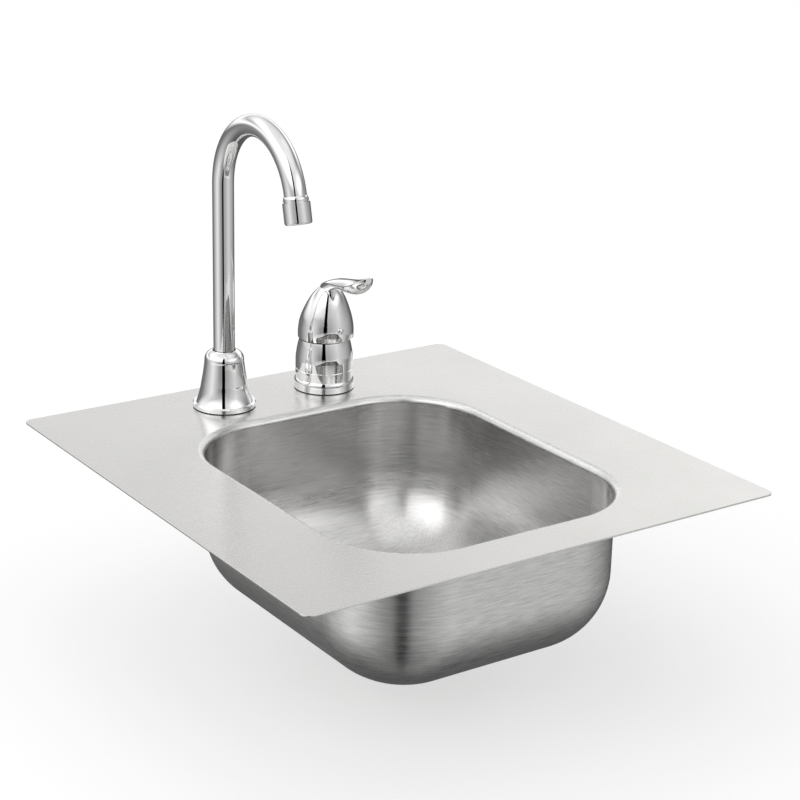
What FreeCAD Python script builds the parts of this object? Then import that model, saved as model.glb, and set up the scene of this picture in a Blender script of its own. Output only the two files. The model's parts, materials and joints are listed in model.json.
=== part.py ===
"""Drop-in stainless bar sink with a gooseneck spout and a single-lever valve.

Units are millimetres. The origin is the centre of the deck's outline on the counter's top, which is the
plane of the deck's underside. +Z is up, +X is the user's right and the user stands on the -Y side.
Heights named h are counted from the top of the deck.
"""
import math
import os

import FreeCAD
import Part

# Sink pressing
SHEET = 1.2
BOWL_WIDTH = 255.0
BOWL_LENGTH = 306.0
BOWL_DEPTH = 131.0
BOWL_CORNER_R = 72.0
BOWL_FLOOR_R = 64.0
RIM_R = 5.5
FRONT_LEDGE = 39.0
SIDE_LEDGE = 82.9
DECK_CORNER_R = 8.0
DECK_EDGE_R = 0.5
FLOOR_MARGIN = 2.0
LANDING = 9.0
SEALANT_GROOVE_W = 1.0
SEALANT_GROOVE_DEPTH = 0.3

# Clip rails under the deck
RAIL_WIDTH = 12.0
RAIL_DEPTH = 8.0
RAIL_GAUGE = 1.0
RAIL_LIP = 3.0
RAIL_CLEAR = 5.0
RAIL_END_GAP = 66.0
SIDE_RAIL_INSET = 28.0

# Tap holes, and what clamps a tap to the deck
TAP_CENTRES = 101.6
TAP_FROM_RIM = 44.5
TAP_FROM_BACK = 51.5
TAP_HOLE_R = 17.5
GASKET_T = 0.8
GASKET_INSET = 0.6
SHANK_DROP = 48.0
WASHER_R = 24.0
WASHER_T = 3.0
NUT_FLATS = 42.0
NUT_H = 9.0
NUT_CHAMFER_DEG = 30.0

# Clearances, and how far a rounded shoulder bulges between its ends
FIT = 0.05
SLIP = 0.1
FREE = 0.3
SHOULDER = 0.7

# Spout
TUBE_R = 9.2
TUBE_WALL = 1.2
RISE_H = 195.7
BEND_R = 58.5
BEND_DEG = 167.0
AERATOR_R = 11.2
AERATOR_H = 17.5
AERATOR_EDGE_R = 2.0
NECK_R = 10.2
NECK_H = 5.0
NECK_EDGE = 0.2
NECK_ROUND_H = 3.6
NECK_GROOVE = 0.6
AERATOR_LIP = 1.0
AERATOR_LIP_R = 8.2
AERATOR_BORE_R = 9.7
AERATOR_INSERT_H = 7.5
AERATOR_WASHER_T = 1.5
AERATOR_WASHER_BORE_R = 6.5
AERATOR_JET_R = 0.8
AERATOR_JET_RADII = (3.2, 6.4)
AERATOR_JET_COUNTS = (6, 12)

# Bell-shaped foot of the spout
BELL_R = 27.2
BELL_FLANGE_H = 4.7
BELL_EDGE = 0.8
BELL_H = 50.4
BELL_MOUTH_R = 10.0
BELL_FOOT_R = 24.8
BELL_FLARE = 0.35
BELL_WAIST_R = 20.0
BELL_WAIST_H = 21.3
BELL_NECK_DIP = 0.3
BELL_SHOULDER_R = 17.0
BELL_SHOULDER_H = 41.2
BELL_WALL = 2.4
BELL_MOUTH_H = 2.6

# Socket and shank of the spout
SOCKET_R = 14.3
SOCKET_BORE_R = 10.4
SOCKET_FLOOR_H = 8.0
SOCKET_TOP_H = 37.0
SOCKET_FLANGE_R = 21.5
SOCKET_FLANGE_H = 4.0
GLAND_THREAD_R = 12.4
GLAND_THREAD_H = 11.0
GLAND_NUT_H = 9.0
GLAND_LIP_H = 2.0
SPOUT_SHANK_R = 14.0
SPOUT_WATERWAY_R = 4.0
THRUST_WASHER_T = 1.0
CIRCLIP_T = 1.2
CIRCLIP_DEPTH = 0.7
CIRCLIP_RIM = 0.9
CIRCLIP_GAP_DEG = 40.0
BUSHING_H = 6.0
O_RING_PITCH = 4.0

# Valve outside
VALVE_R = 26.8
VALVE_RING_STEP_H = 5.0
VALVE_RING_H = 10.2
BARREL_R = 25.5
BARREL_BULGE_H = 27.0
BARREL_TOP_R = 22.2
BARREL_TOP_H = 45.5
BARREL_SHOULDER_R = 24.6
BARREL_SHOULDER_H = 35.0
GROOVE_H = 18.0
GROOVE_W = 0.8
GROOVE_DEPTH = 0.4

# Valve body and ports
VALVE_BODY_R = 19.5
VALVE_BODY_H = 40.0
VALVE_SHANK_R = 16.5
POCKET_FLOOR_H = 12.0
PORT_CIRCLE_R = 9.0
PORT_R = 3.2
PORT_DEPTH = 12.0
INLET_THREAD_R = 4.5
HOT_PORT_DEG = 150.0
COLD_PORT_DEG = 30.0
MIXED_PORT_DEG = 270.0

# Cartridge
CARTRIDGE_R = 15.8
CARTRIDGE_WALL = 2.2
CARTRIDGE_TOP_H = 33.0
CARTRIDGE_LIP = 2.5
CARTRIDGE_BASE_T = 3.0
SEAL_T = 1.2
SEAL_WIDTH = 1.4
FIXED_DISC_T = 3.5
DISC_PORT_R = 2.8
MOVING_DISC_R = 10.3
MOVING_DISC_T = 2.0
MIXING_R = 6.0
MIXING_DEPTH = 1.0
DRIVER_T = 4.3
WELL_FLOOR_T = 0.2
CARRIER_NECK_R = 12.0
CARRIER_TOP_H = 42.0
PIVOT_ABOVE_CARRIER = 4.85
PIVOT_R = 2.0
PIVOT_LENGTH = 21.0
SPINDLE_W = 8.0
SPINDLE_D = 7.0
SPINDLE_TOP_H = 70.0
SPINDLE_HUB_R = 4.2
SPINDLE_ARM = 6.8
SPINDLE_NECK_R = 1.4
SPINDLE_BALL_R = 2.2
TILT_DEG = 25.0
NUT_FLANGE_T = 2.8
SLEEVE_LIP_T = 1.2

# Handle: each dome section is (height, offset towards the user, radius)
DOME_SECTIONS = (
    (47.5, 1.8, 24.5),
    (58.0, 2.2, 24.3),
    (66.0, 2.6, 22.7),
    (75.0, 3.6, 19.5),
    (84.0, 5.0, 15.4),
    (91.0, 6.4, 10.6),
    (95.0, 7.4, 6.0),
)
# Lever: each section is (reach towards the user, height of its crown, top edges and underside, width)
LEVER_SECTIONS = (
    (-5.0, 88.9, 87.5, 82.0, 6.0),
    (2.5, 95.2, 93.8, 86.0, 13.0),
    (10.0, 100.3, 98.8, 89.5, 19.5),
    (18.0, 103.6, 101.7, 92.8, 22.5),
    (27.0, 105.7, 103.0, 95.3, 23.5),
    (38.0, 107.9, 104.2, 96.6, 23.5),
    (49.0, 110.2, 106.2, 97.4, 22.5),
    (59.0, 113.0, 110.2, 100.6, 19.5),
    (65.5, 115.2, 114.0, 105.5, 13.5),
    (69.0, 116.0, 115.6, 111.0, 5.5),
)
LEVER_EDGE = 1.2
HANDLE_WALL = 1.6
HANDLE_HOLLOW_COUNT = 4
BOSS_W = 15.0
BOSS_D = 14.0
BOSS_BOTTOM_H = 55.0
BOSS_TOP_H = 84.0
RIB_W = 9.0
SCREW_R = 2.5
SCREW_LENGTH = 8.0
SCREW_SOCKET_R = 1.2
SCREW_SOCKET_DEPTH = 3.0
PLUG_R = 3.0
PLUG_CROWN = 1.6
PLUG_SINK = 1.0
PLUG_STEM = 8.0

# Pipe from the valve to the spout
CROSSOVER_R = 5.0
CROSSOVER_WALL = 1.0
CROSSOVER_BEND_R = 18.0
CROSSOVER_DROP = 44.0
CROSSOVER_NUT_FLATS = 17.0
CROSSOVER_NUT_H = 12.0

# Strainer in the drain hole
DRAIN_HOLE_R = 45.0
STRAINER_FLANGE_R = 57.0
STRAINER_FLANGE_T = 1.6
STRAINER_CUP_R = 43.5
STRAINER_WALL = 2.0
STRAINER_SEAT_DROP = 8.0
STRAINER_SEAT_W = 2.5
STRAINER_CUP_DEPTH = 31.0
STRAINER_FLOOR_DROP = 3.0
OUTLET_R = 23.8
OUTLET_WALL = 3.0
OUTLET_LENGTH = 15.0
STRAINER_GASKET_T = 3.0
FRICTION_WASHER_T = 1.0
LOCKNUT_H = 8.0
LOCKNUT_R = 53.0
LOCKNUT_LUGS = 6
LOCKNUT_LUG = 5.0
CLAMP_RING_R = 56.0

# Basket
BASKET_GAUGE = 0.8
BASKET_FLOOR_R = 8.0
BASKET_HOLE_R = 1.9
BASKET_HOLE_RADII = (11.0, 17.5, 24.0)
BASKET_HOLE_COUNTS = (8, 14, 20)
POST_R = 3.0
POST_FOOT_R = 7.0
POST_FOOT_T = 1.5
KNOB_R = 8.0
KNOB_H = 7.0
KNOB_RIM_H = 2.3
POST_HEIGHT = 24.0
STOPPER_R = 30.0
STOPPER_T = 4.0
STOPPER_LIP = 2.0

# Places that follow from the sizes above
RIM_HALF_X = BOWL_WIDTH / 2 + RIM_R
RIM_HALF_Y = BOWL_LENGTH / 2 + RIM_R
DECK_WIDTH = 2 * (SIDE_LEDGE + RIM_HALF_X)
DECK_DEPTH = FRONT_LEDGE + 2 * RIM_HALF_Y + TAP_FROM_RIM + TAP_FROM_BACK
BOWL_Y = -DECK_DEPTH / 2 + FRONT_LEDGE + RIM_HALF_Y
FLOOR_Z = SHEET - BOWL_DEPTH
UNDER_FLOOR_Z = FLOOR_Z - SHEET
TAP_Y = DECK_DEPTH / 2 - TAP_FROM_BACK
SPOUT_AT = (-TAP_CENTRES / 2, TAP_Y)
VALVE_AT = (TAP_CENTRES / 2, TAP_Y)
DRAIN_AT = (0.0, BOWL_Y)
TUBE_BORE_R = TUBE_R - TUBE_WALL
PORTS_DEG = (HOT_PORT_DEG, COLD_PORT_DEG, MIXED_PORT_DEG)
CARTRIDGE_BORE_R = CARTRIDGE_R - CARTRIDGE_WALL
FIXED_DISC_H = POCKET_FLOOR_H + CARTRIDGE_BASE_T
MOVING_DISC_H = FIXED_DISC_H + FIXED_DISC_T + FIT
DRIVER_H = MOVING_DISC_H + MOVING_DISC_T
CARRIER_H = DRIVER_H + DRIVER_T + FREE
PIVOT_H = CARRIER_H + PIVOT_ABOVE_CARRIER
SCREW_H = DOME_SECTIONS[1][0]
SCREW_FACE = DOME_SECTIONS[1][1] + DOME_SECTIONS[1][2]
BASKET_Z = FLOOR_Z - STRAINER_SEAT_DROP
BASKET_R = STRAINER_CUP_R - STRAINER_WALL - FREE
BASKET_WALL_R = BASKET_R - STRAINER_SEAT_W
CUP_FLOOR_Z = UNDER_FLOOR_Z - STRAINER_CUP_DEPTH


def vec(x, y, z):
    """Point or direction."""
    return FreeCAD.Vector(x, y, z)


def deck(h):
    """Height in the part's frame of a point h above the deck's top."""
    return SHEET + h


def cylinder(radius, z0, z1, at=(0.0, 0.0)):
    """Upright cylinder between two heights."""
    return Part.makeCylinder(radius, z1 - z0, vec(at[0], at[1], z0))


def ring(outer_r, inner_r, z0, z1, at=(0.0, 0.0)):
    """Flat ring between two heights."""
    return cylinder(outer_r, z0, z1, at).cut(cylinder(inner_r, z0, z1, at))


def block(x0, x1, y0, y1, z0, z1):
    """Box between two corners."""
    return Part.makeBox(x1 - x0, y1 - y0, z1 - z0, vec(x0, y0, z0))


def turned(outline, at=(0.0, 0.0)):
    """Solid of revolution about an upright axis.

    The outline is a closed run of (radius, height) corners. A pair of corners stands for an arc
    through the first to the second.
    """
    start = outline[0]
    here = start
    edges = []
    for step in list(outline[1:]) + [start]:
        if isinstance(step[0], tuple):
            middle, end = step
            curve = Part.Arc(vec(here[0], 0, here[1]), vec(middle[0], 0, middle[1]), vec(end[0], 0, end[1]))
        else:
            end = step
            curve = Part.LineSegment(vec(here[0], 0, here[1]), vec(end[0], 0, end[1]))
        edges.append(curve.toShape())
        here = end
    face = Part.Face(Part.Wire(edges))
    solid = face.revolve(vec(0, 0, 0), vec(0, 0, 1), 360)
    solid.translate(vec(at[0], at[1], 0))
    return solid


def on_circle(radius, degrees, at=(0.0, 0.0)):
    """Point on a circle round an upright axis."""
    angle = math.radians(degrees)
    return (at[0] + radius * math.cos(angle), at[1] + radius * math.sin(angle))


def union(shapes):
    """One solid from several that touch or overlap."""
    return shapes[0].multiFuse(shapes[1:]).removeSplitter()


def rounded_prism(half_x, half_y, centre_y, corner, z0, z1):
    """Upright prism on a rectangle with round corners."""
    edges = []
    quarter = math.cos(math.pi / 4)
    corners = ((1, 1), (-1, 1), (-1, -1), (1, -1))
    ends = []
    for sx, sy in corners:
        cx = sx * (half_x - corner)
        cy = centre_y + sy * (half_y - corner)
        beside = vec(cx + sx * corner, cy, z0)
        above = vec(cx, cy + sy * corner, z0)
        middle = vec(cx + sx * corner * quarter, cy + sy * corner * quarter, z0)
        ends.append((beside, middle, above) if sx * sy > 0 else (above, middle, beside))
    for index, (first, middle, last) in enumerate(ends):
        edges.append(Part.Arc(first, middle, last).toShape())
        following = ends[(index + 1) % len(ends)][0]
        edges.append(Part.LineSegment(last, following).toShape())
    return Part.Face(Part.Wire(edges)).extrude(vec(0, 0, z1 - z0))


def level_edges(shape, z, half_x, half_y, centre_y):
    """Edges at one height inside a rectangle round the bowl."""
    found = []
    for edge in shape.Edges:
        box = edge.BoundBox
        if abs(box.ZMin - z) > 1e-4 or abs(box.ZMax - z) > 1e-4:
            continue
        if max(abs(box.XMin), abs(box.XMax)) > half_x:
            continue
        if max(abs(box.YMin - centre_y), abs(box.YMax - centre_y)) > half_y:
            continue
        found.append(edge)
    return found


def hexagon(flats, z0, z1, at):
    """Nut blank: a six-sided prism whose corners are chamfered at both ends."""
    flat_r = flats / 2
    corner_r = flat_r / math.cos(math.pi / 6)
    chamfer = (corner_r - flat_r) * math.tan(math.radians(NUT_CHAMFER_DEG))
    points = []
    for side in range(7):
        x, y = on_circle(corner_r, 60 * side, at)
        points.append(vec(x, y, z0))
    prism = Part.Face(Part.makePolygon(points)).extrude(vec(0, 0, z1 - z0))
    outline = (
        (0, z0),
        (flat_r, z0),
        (corner_r, z0 + chamfer),
        (corner_r, z1 - chamfer),
        (flat_r, z1),
        (0, z1),
    )
    return prism.common(turned(outline, at))


def rod_along(corners, bend_r, radius):
    """Round rod along straight runs joined by tangent arcs."""
    edges = []
    here = corners[0]
    for before, corner, after in zip(corners, corners[1:], corners[2:]):
        back = (before - corner).normalize()
        ahead = (after - corner).normalize()
        half = back.getAngle(ahead) / 2
        setback = bend_r / math.tan(half)
        arc_start = corner + back * setback
        arc_end = corner + ahead * setback
        inward = (back + ahead).normalize()
        middle = corner + inward * (bend_r / math.sin(half) - bend_r)
        edges.append(Part.LineSegment(here, arc_start).toShape())
        edges.append(Part.Arc(arc_start, middle, arc_end).toShape())
        here = arc_end
    edges.append(Part.LineSegment(here, corners[-1]).toShape())
    path = Part.Wire(edges)
    heading = corners[1] - corners[0]
    section = Part.Wire(Part.Circle(corners[0], heading, radius).toShape())
    return path.makePipeShell([section], True, False)


# Sink


def floor_radius():
    """Radius between floor and wall, limited by the corner and by the flat that the strainer needs."""
    flat = BOWL_WIDTH / 2 - STRAINER_FLANGE_R - FLOOR_MARGIN
    return min(BOWL_FLOOR_R, BOWL_CORNER_R - FLOOR_MARGIN, flat)


def pressing():
    """Deck and bowl together, of even sheet."""
    half_x = BOWL_WIDTH / 2
    half_y = BOWL_LENGTH / 2
    floor_r = floor_radius()
    plate = rounded_prism(DECK_WIDTH / 2, DECK_DEPTH / 2, 0, DECK_CORNER_R, 0, SHEET)
    plate = plate.makeFillet(DECK_EDGE_R, level_edges(plate, SHEET, DECK_WIDTH, DECK_DEPTH, 0))
    corner = BOWL_CORNER_R + SHEET
    outside = rounded_prism(half_x + SHEET, half_y + SHEET, BOWL_Y, corner, UNDER_FLOOR_Z, SHEET)
    rim = level_edges(outside, UNDER_FLOOR_Z, DECK_WIDTH, DECK_DEPTH, BOWL_Y)
    outside = outside.makeFillet(floor_r + SHEET, rim)
    body = plate.fuse(outside).removeSplitter()
    under = level_edges(body, 0, RIM_HALF_X, RIM_HALF_Y, BOWL_Y)
    body = body.makeFillet(RIM_R - SHEET, under)
    inside = rounded_prism(half_x, half_y, BOWL_Y, BOWL_CORNER_R, FLOOR_Z, SHEET)
    inside = inside.makeFillet(floor_r, level_edges(inside, FLOOR_Z, DECK_WIDTH, DECK_DEPTH, BOWL_Y))
    body = body.cut(inside)
    mouth = level_edges(body, SHEET, RIM_HALF_X, RIM_HALF_Y, BOWL_Y)
    body = body.makeFillet(RIM_R, mouth)
    for at in (SPOUT_AT, VALVE_AT):
        body = body.cut(cylinder(TAP_HOLE_R, 0, SHEET, at))
    return body.cut(cylinder(DRAIN_HOLE_R, UNDER_FLOOR_Z, FLOOR_Z, DRAIN_AT))


def sealant_groove():
    """Fine groove in the deck's underside that keeps the sealant on the landing, the strip along the edge."""
    half_x = DECK_WIDTH / 2 - LANDING
    half_y = DECK_DEPTH / 2 - LANDING
    width = SEALANT_GROOVE_W
    outer = rounded_prism(half_x, half_y, 0, DECK_CORNER_R, 0, SEALANT_GROOVE_DEPTH)
    inner = rounded_prism(half_x - width, half_y - width, 0, DECK_CORNER_R - width, 0, SEALANT_GROOVE_DEPTH)
    return outer.cut(inner)


def sink_shells():
    """Deck and bowl by name, parted along the seam where the rim begins to turn down."""
    whole = pressing()
    seam = rounded_prism(RIM_HALF_X, RIM_HALF_Y, BOWL_Y, BOWL_CORNER_R + RIM_R, UNDER_FLOOR_Z, SHEET)
    return {"sink_deck": whole.cut(seam).cut(sealant_groove()), "sink_bowl": whole.common(seam)}


def clip_rail(length):
    """Open channel along X with turned-in lips, its back on the deck's underside."""
    half = RAIL_WIDTH / 2
    side = (
        (half, 0),
        (half, -RAIL_DEPTH),
        (half - RAIL_LIP, -RAIL_DEPTH),
        (half - RAIL_LIP, -RAIL_DEPTH + RAIL_GAUGE),
        (half - RAIL_GAUGE, -RAIL_DEPTH + RAIL_GAUGE),
        (half - RAIL_GAUGE, -RAIL_GAUGE),
    )
    mirrored = [(-y, z) for y, z in reversed(side)]
    outline = list(side) + mirrored
    points = [vec(-length / 2, y, z) for y, z in outline]
    face = Part.Face(Part.makePolygon(points + [points[0]]))
    return face.extrude(vec(length, 0, 0))


def across_rail(y):
    """Rail along the front or back ledge."""
    rail = clip_rail(DECK_WIDTH - 2 * RAIL_END_GAP)
    rail.translate(vec(0, y, 0))
    return rail


def side_rail(x):
    """Rail along a side ledge."""
    rail = clip_rail(2 * RIM_HALF_Y)
    rail.rotate(vec(0, 0, 0), vec(0, 0, 1), 90)
    rail.translate(vec(x, BOWL_Y, 0))
    return rail


def clip_rails():
    """Four rails by side."""
    front = -DECK_DEPTH / 2 + FRONT_LEDGE - RAIL_CLEAR - RAIL_WIDTH / 2
    back = TAP_Y + nut_corner_r() + RAIL_CLEAR + RAIL_WIDTH / 2
    side = DECK_WIDTH / 2 - SIDE_RAIL_INSET
    return {
        "front_clip_rail": across_rail(front),
        "back_clip_rail": across_rail(back),
        "left_clip_rail": side_rail(-side),
        "right_clip_rail": side_rail(side),
    }


# What clamps a tap to the deck


def nut_corner_r():
    """Radius of a shank nut over its corners."""
    return NUT_FLATS / 2 / math.cos(math.pi / 6)


def shank_washer(shank_r, at):
    """Rubber washer against the deck's underside."""
    return ring(WASHER_R, shank_r + FREE, -WASHER_T, 0, at)


def shank_nut(shank_r, at):
    """Nut that pulls the tap down."""
    top = -WASHER_T
    return hexagon(NUT_FLATS, top - NUT_H, top, at).cut(cylinder(shank_r + FIT, top - NUT_H, top, at))


# Spout


def spout_end():
    """Where the bend ends, and the direction of the straight end that follows it."""
    angle = math.radians(BEND_DEG)
    y = SPOUT_AT[1] - BEND_R * (1 - math.cos(angle))
    z = deck(RISE_H) + BEND_R * math.sin(angle)
    return vec(SPOUT_AT[0], y, z), vec(0, -math.sin(angle), math.cos(angle))


def at_spout_end(shape):
    """Put a piece built downwards from the origin on the spout's end."""
    place, heading = spout_end()
    turn = FreeCAD.Rotation(vec(0, 0, -1), heading)
    shape.Placement = FreeCAD.Placement(place, turn)
    return shape


def spout_rod(radius, start_z, end_length):
    """Round rod up the spout, round its bend and down its straight end."""
    x, y = SPOUT_AT
    top = deck(RISE_H)
    rise = cylinder(radius, start_z, top, SPOUT_AT)
    disc = Part.Face(Part.Wire(Part.Circle(vec(x, y, top), vec(0, 0, 1), radius).toShape()))
    bend = disc.revolve(vec(x, y - BEND_R, top), vec(1, 0, 0), BEND_DEG)
    end = at_spout_end(cylinder(radius, -end_length, 0))
    return union([rise, bend, end])


def tube_foot():
    """Height of the tube's lower end, on the thrust washer."""
    return deck(SOCKET_FLOOR_H) + THRUST_WASHER_T + FIT


def aerator_reach():
    """Length of the tube inside the aerator's housing."""
    return NECK_H + AERATOR_H - AERATOR_LIP - AERATOR_INSERT_H - AERATOR_WASHER_T


def circlip_z():
    """Underside of the circlip."""
    return tube_foot() + CIRCLIP_T / 2


def spout_tube():
    """Bent tube with a groove near its foot for the circlip."""
    outside = spout_rod(TUBE_R, tube_foot(), aerator_reach())
    bore = spout_rod(TUBE_BORE_R, tube_foot(), aerator_reach())
    groove = ring(TUBE_R + FREE, TUBE_R - CIRCLIP_DEPTH, circlip_z(), circlip_z() + CIRCLIP_T, SPOUT_AT)
    return outside.cut(bore).cut(groove)


def aerator_housing():
    """Chrome cup on the spout's end, with a round collar and a fine groove above it."""
    total = NECK_H + AERATOR_H
    seat = aerator_reach()
    neck_top_r = TUBE_R + FIT + NECK_EDGE
    neck_round_r = neck_top_r + (NECK_R - neck_top_r) * SHOULDER
    corner = AERATOR_EDGE_R * math.cos(math.pi / 4)
    outline = (
        (TUBE_R + FIT, 0),
        (neck_top_r, 0),
        ((neck_round_r, NECK_ROUND_H * (SHOULDER - 1)), (NECK_R, -NECK_ROUND_H)),
        (NECK_R, -NECK_H + NECK_GROOVE),
        (NECK_R - NECK_GROOVE, -NECK_H + NECK_GROOVE),
        (NECK_R - NECK_GROOVE, -NECK_H),
        (AERATOR_R, -NECK_H),
        (AERATOR_R, -total + AERATOR_EDGE_R),
        (
            (AERATOR_R - AERATOR_EDGE_R + corner, -total + AERATOR_EDGE_R - corner),
            (AERATOR_R - AERATOR_EDGE_R, -total),
        ),
        (AERATOR_LIP_R, -total),
        (AERATOR_LIP_R, -total + AERATOR_LIP),
        (AERATOR_BORE_R, -total + AERATOR_LIP),
        (AERATOR_BORE_R, -seat),
        (TUBE_R + FIT, -seat),
    )
    return at_spout_end(turned(outline))


def aerator_insert():
    """Disc of fine jets."""
    bottom = -(NECK_H + AERATOR_H - AERATOR_LIP)
    insert = cylinder(AERATOR_BORE_R - SLIP, bottom, bottom + AERATOR_INSERT_H)
    for radius, count in zip(AERATOR_JET_RADII, AERATOR_JET_COUNTS):
        for jet in range(count):
            place = on_circle(radius, 360 * jet / count)
            insert = insert.cut(cylinder(AERATOR_JET_R, bottom, bottom + AERATOR_INSERT_H, place))
    return at_spout_end(insert)


def aerator_washer():
    """Rubber washer between the tube's end and the jets."""
    top = -aerator_reach()
    return at_spout_end(ring(AERATOR_BORE_R - SLIP, AERATOR_WASHER_BORE_R, top - AERATOR_WASHER_T, top))


def bell_gasket():
    """Rubber ring under the foot and the socket's flange."""
    return ring(BELL_R - GASKET_INSET, SPOUT_SHANK_R + FREE, SHEET, deck(GASKET_T), SPOUT_AT)


def spout_bell():
    """Bell-shaped cover: a flange, a flared waist and a round shoulder, hollow inside."""
    flare_r = BELL_WAIST_R + (BELL_FOOT_R - BELL_WAIST_R) * BELL_FLARE
    flare_h = (BELL_FLANGE_H + BELL_WAIST_H) / 2
    neck_r = (BELL_WAIST_R + BELL_SHOULDER_R) / 2 - BELL_NECK_DIP
    neck_h = (BELL_WAIST_H + BELL_SHOULDER_H) / 2
    crown_r = BELL_MOUTH_R + (BELL_SHOULDER_R - BELL_MOUTH_R) * SHOULDER
    crown_h = BELL_SHOULDER_H + (BELL_H - BELL_SHOULDER_H) * SHOULDER
    outline = (
        (BELL_R, deck(GASKET_T)),
        (BELL_R, deck(BELL_FLANGE_H - BELL_EDGE)),
        (BELL_R - BELL_EDGE, deck(BELL_FLANGE_H)),
        (BELL_FOOT_R, deck(BELL_FLANGE_H)),
        ((flare_r, deck(flare_h)), (BELL_WAIST_R, deck(BELL_WAIST_H))),
        ((neck_r, deck(neck_h)), (BELL_SHOULDER_R, deck(BELL_SHOULDER_H))),
        ((crown_r, deck(crown_h)), (BELL_MOUTH_R, deck(BELL_H))),
        (BELL_MOUTH_R, deck(BELL_H - BELL_MOUTH_H)),
        (BELL_SHOULDER_R - BELL_WALL, deck(BELL_SHOULDER_H)),
        (BELL_WAIST_R - BELL_WALL, deck(BELL_WAIST_H)),
        (BELL_FOOT_R - BELL_WALL, deck(BELL_FLANGE_H)),
        (BELL_FOOT_R - BELL_WALL, deck(GASKET_T)),
    )
    return turned(outline, SPOUT_AT)


def spout_shank():
    """Brass socket that holds the spout, with a flange on the deck and a threaded shank through it."""
    foot = -SHANK_DROP
    thread_z = deck(SOCKET_TOP_H - GLAND_THREAD_H)
    outline = (
        (SPOUT_SHANK_R, foot),
        (SPOUT_SHANK_R, deck(GASKET_T)),
        (SOCKET_FLANGE_R, deck(GASKET_T)),
        (SOCKET_FLANGE_R, deck(SOCKET_FLANGE_H)),
        (SOCKET_R, deck(SOCKET_FLANGE_H)),
        (SOCKET_R, thread_z),
        (GLAND_THREAD_R, thread_z),
        (GLAND_THREAD_R, deck(SOCKET_TOP_H)),
        (SOCKET_BORE_R, deck(SOCKET_TOP_H)),
        (SOCKET_BORE_R, deck(SOCKET_FLOOR_H)),
        (SPOUT_WATERWAY_R, deck(SOCKET_FLOOR_H)),
        (SPOUT_WATERWAY_R, foot + PORT_DEPTH),
        (CROSSOVER_R + FIT, foot + PORT_DEPTH),
        (CROSSOVER_R + FIT, foot),
    )
    return turned(outline, SPOUT_AT)


def spout_thrust_washer():
    """Slippery washer that the tube stands on."""
    floor = deck(SOCKET_FLOOR_H)
    return ring(SOCKET_BORE_R - FIT, SPOUT_WATERWAY_R, floor, floor + THRUST_WASHER_T, SPOUT_AT)


def spout_circlip():
    """Split ring in the tube's groove, under the lower bushing."""
    z0 = circlip_z() + FIT
    z1 = circlip_z() + CIRCLIP_T - FIT
    clip = ring(TUBE_R + CIRCLIP_RIM, TUBE_R - CIRCLIP_DEPTH + FIT, z0, z1, SPOUT_AT)
    reach = 2 * TUBE_R
    x, y = SPOUT_AT
    half = math.radians(CIRCLIP_GAP_DEG / 2)
    corners = (
        vec(x, y, z0),
        vec(x - reach * math.sin(half), y + reach * math.cos(half), z0),
        vec(x + reach * math.sin(half), y + reach * math.cos(half), z0),
        vec(x, y, z0),
    )
    return clip.cut(Part.Face(Part.makePolygon(corners)).extrude(vec(0, 0, z1 - z0)))


def lower_bushing_z():
    """Underside of the lower bushing, just over the circlip."""
    return circlip_z() + CIRCLIP_T + FREE


def spout_bushings():
    """Two bearing rings, one at each end of the socket."""
    low = lower_bushing_z()
    high = deck(SOCKET_TOP_H) - BUSHING_H
    rings = [ring(SOCKET_BORE_R - FIT, TUBE_R + FIT, z, z + BUSHING_H, SPOUT_AT) for z in (low, high)]
    return Part.makeCompound(rings)


def spout_o_rings():
    """Two seals between the bushings."""
    gap = SOCKET_BORE_R - TUBE_R
    section_r = gap / 2 - FIT
    low = lower_bushing_z() + BUSHING_H
    high = deck(SOCKET_TOP_H) - BUSHING_H
    middle = (low + high) / 2
    rings = []
    for z in (middle - O_RING_PITCH / 2, middle + O_RING_PITCH / 2):
        rings.append(Part.makeTorus(TUBE_R + gap / 2, section_r, vec(SPOUT_AT[0], SPOUT_AT[1], z)))
    return Part.makeCompound(rings)


def spout_gland_nut():
    """Round nut that keeps the upper bushing in the socket."""
    top = deck(SOCKET_TOP_H)
    outline = (
        (SOCKET_R, top - GLAND_NUT_H),
        (SOCKET_R, top + GLAND_LIP_H),
        (TUBE_R + FREE, top + GLAND_LIP_H),
        (TUBE_R + FREE, top),
        (GLAND_THREAD_R + FIT, top),
        (GLAND_THREAD_R + FIT, top - GLAND_NUT_H),
    )
    return turned(outline, SPOUT_AT)


# Valve outside


def valve_gasket():
    """Rubber ring under the valve."""
    return ring(VALVE_R - GASKET_INSET, VALVE_SHANK_R + FREE, SHEET, deck(GASKET_T), VALVE_AT)


def valve_base_ring():
    """Chrome ring on the deck with a rounded shoulder."""
    bore = VALVE_BODY_R + FREE
    shoulder_r = BARREL_R + (VALVE_R - BARREL_R) * SHOULDER
    shoulder_h = VALVE_RING_STEP_H + (VALVE_RING_H - VALVE_RING_STEP_H) * SHOULDER
    outline = (
        (bore, deck(GASKET_T)),
        (VALVE_R, deck(GASKET_T)),
        (VALVE_R, deck(VALVE_RING_STEP_H)),
        ((shoulder_r, deck(shoulder_h)), (BARREL_R, deck(VALVE_RING_H))),
        (bore, deck(VALVE_RING_H)),
    )
    return turned(outline, VALVE_AT)


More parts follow.
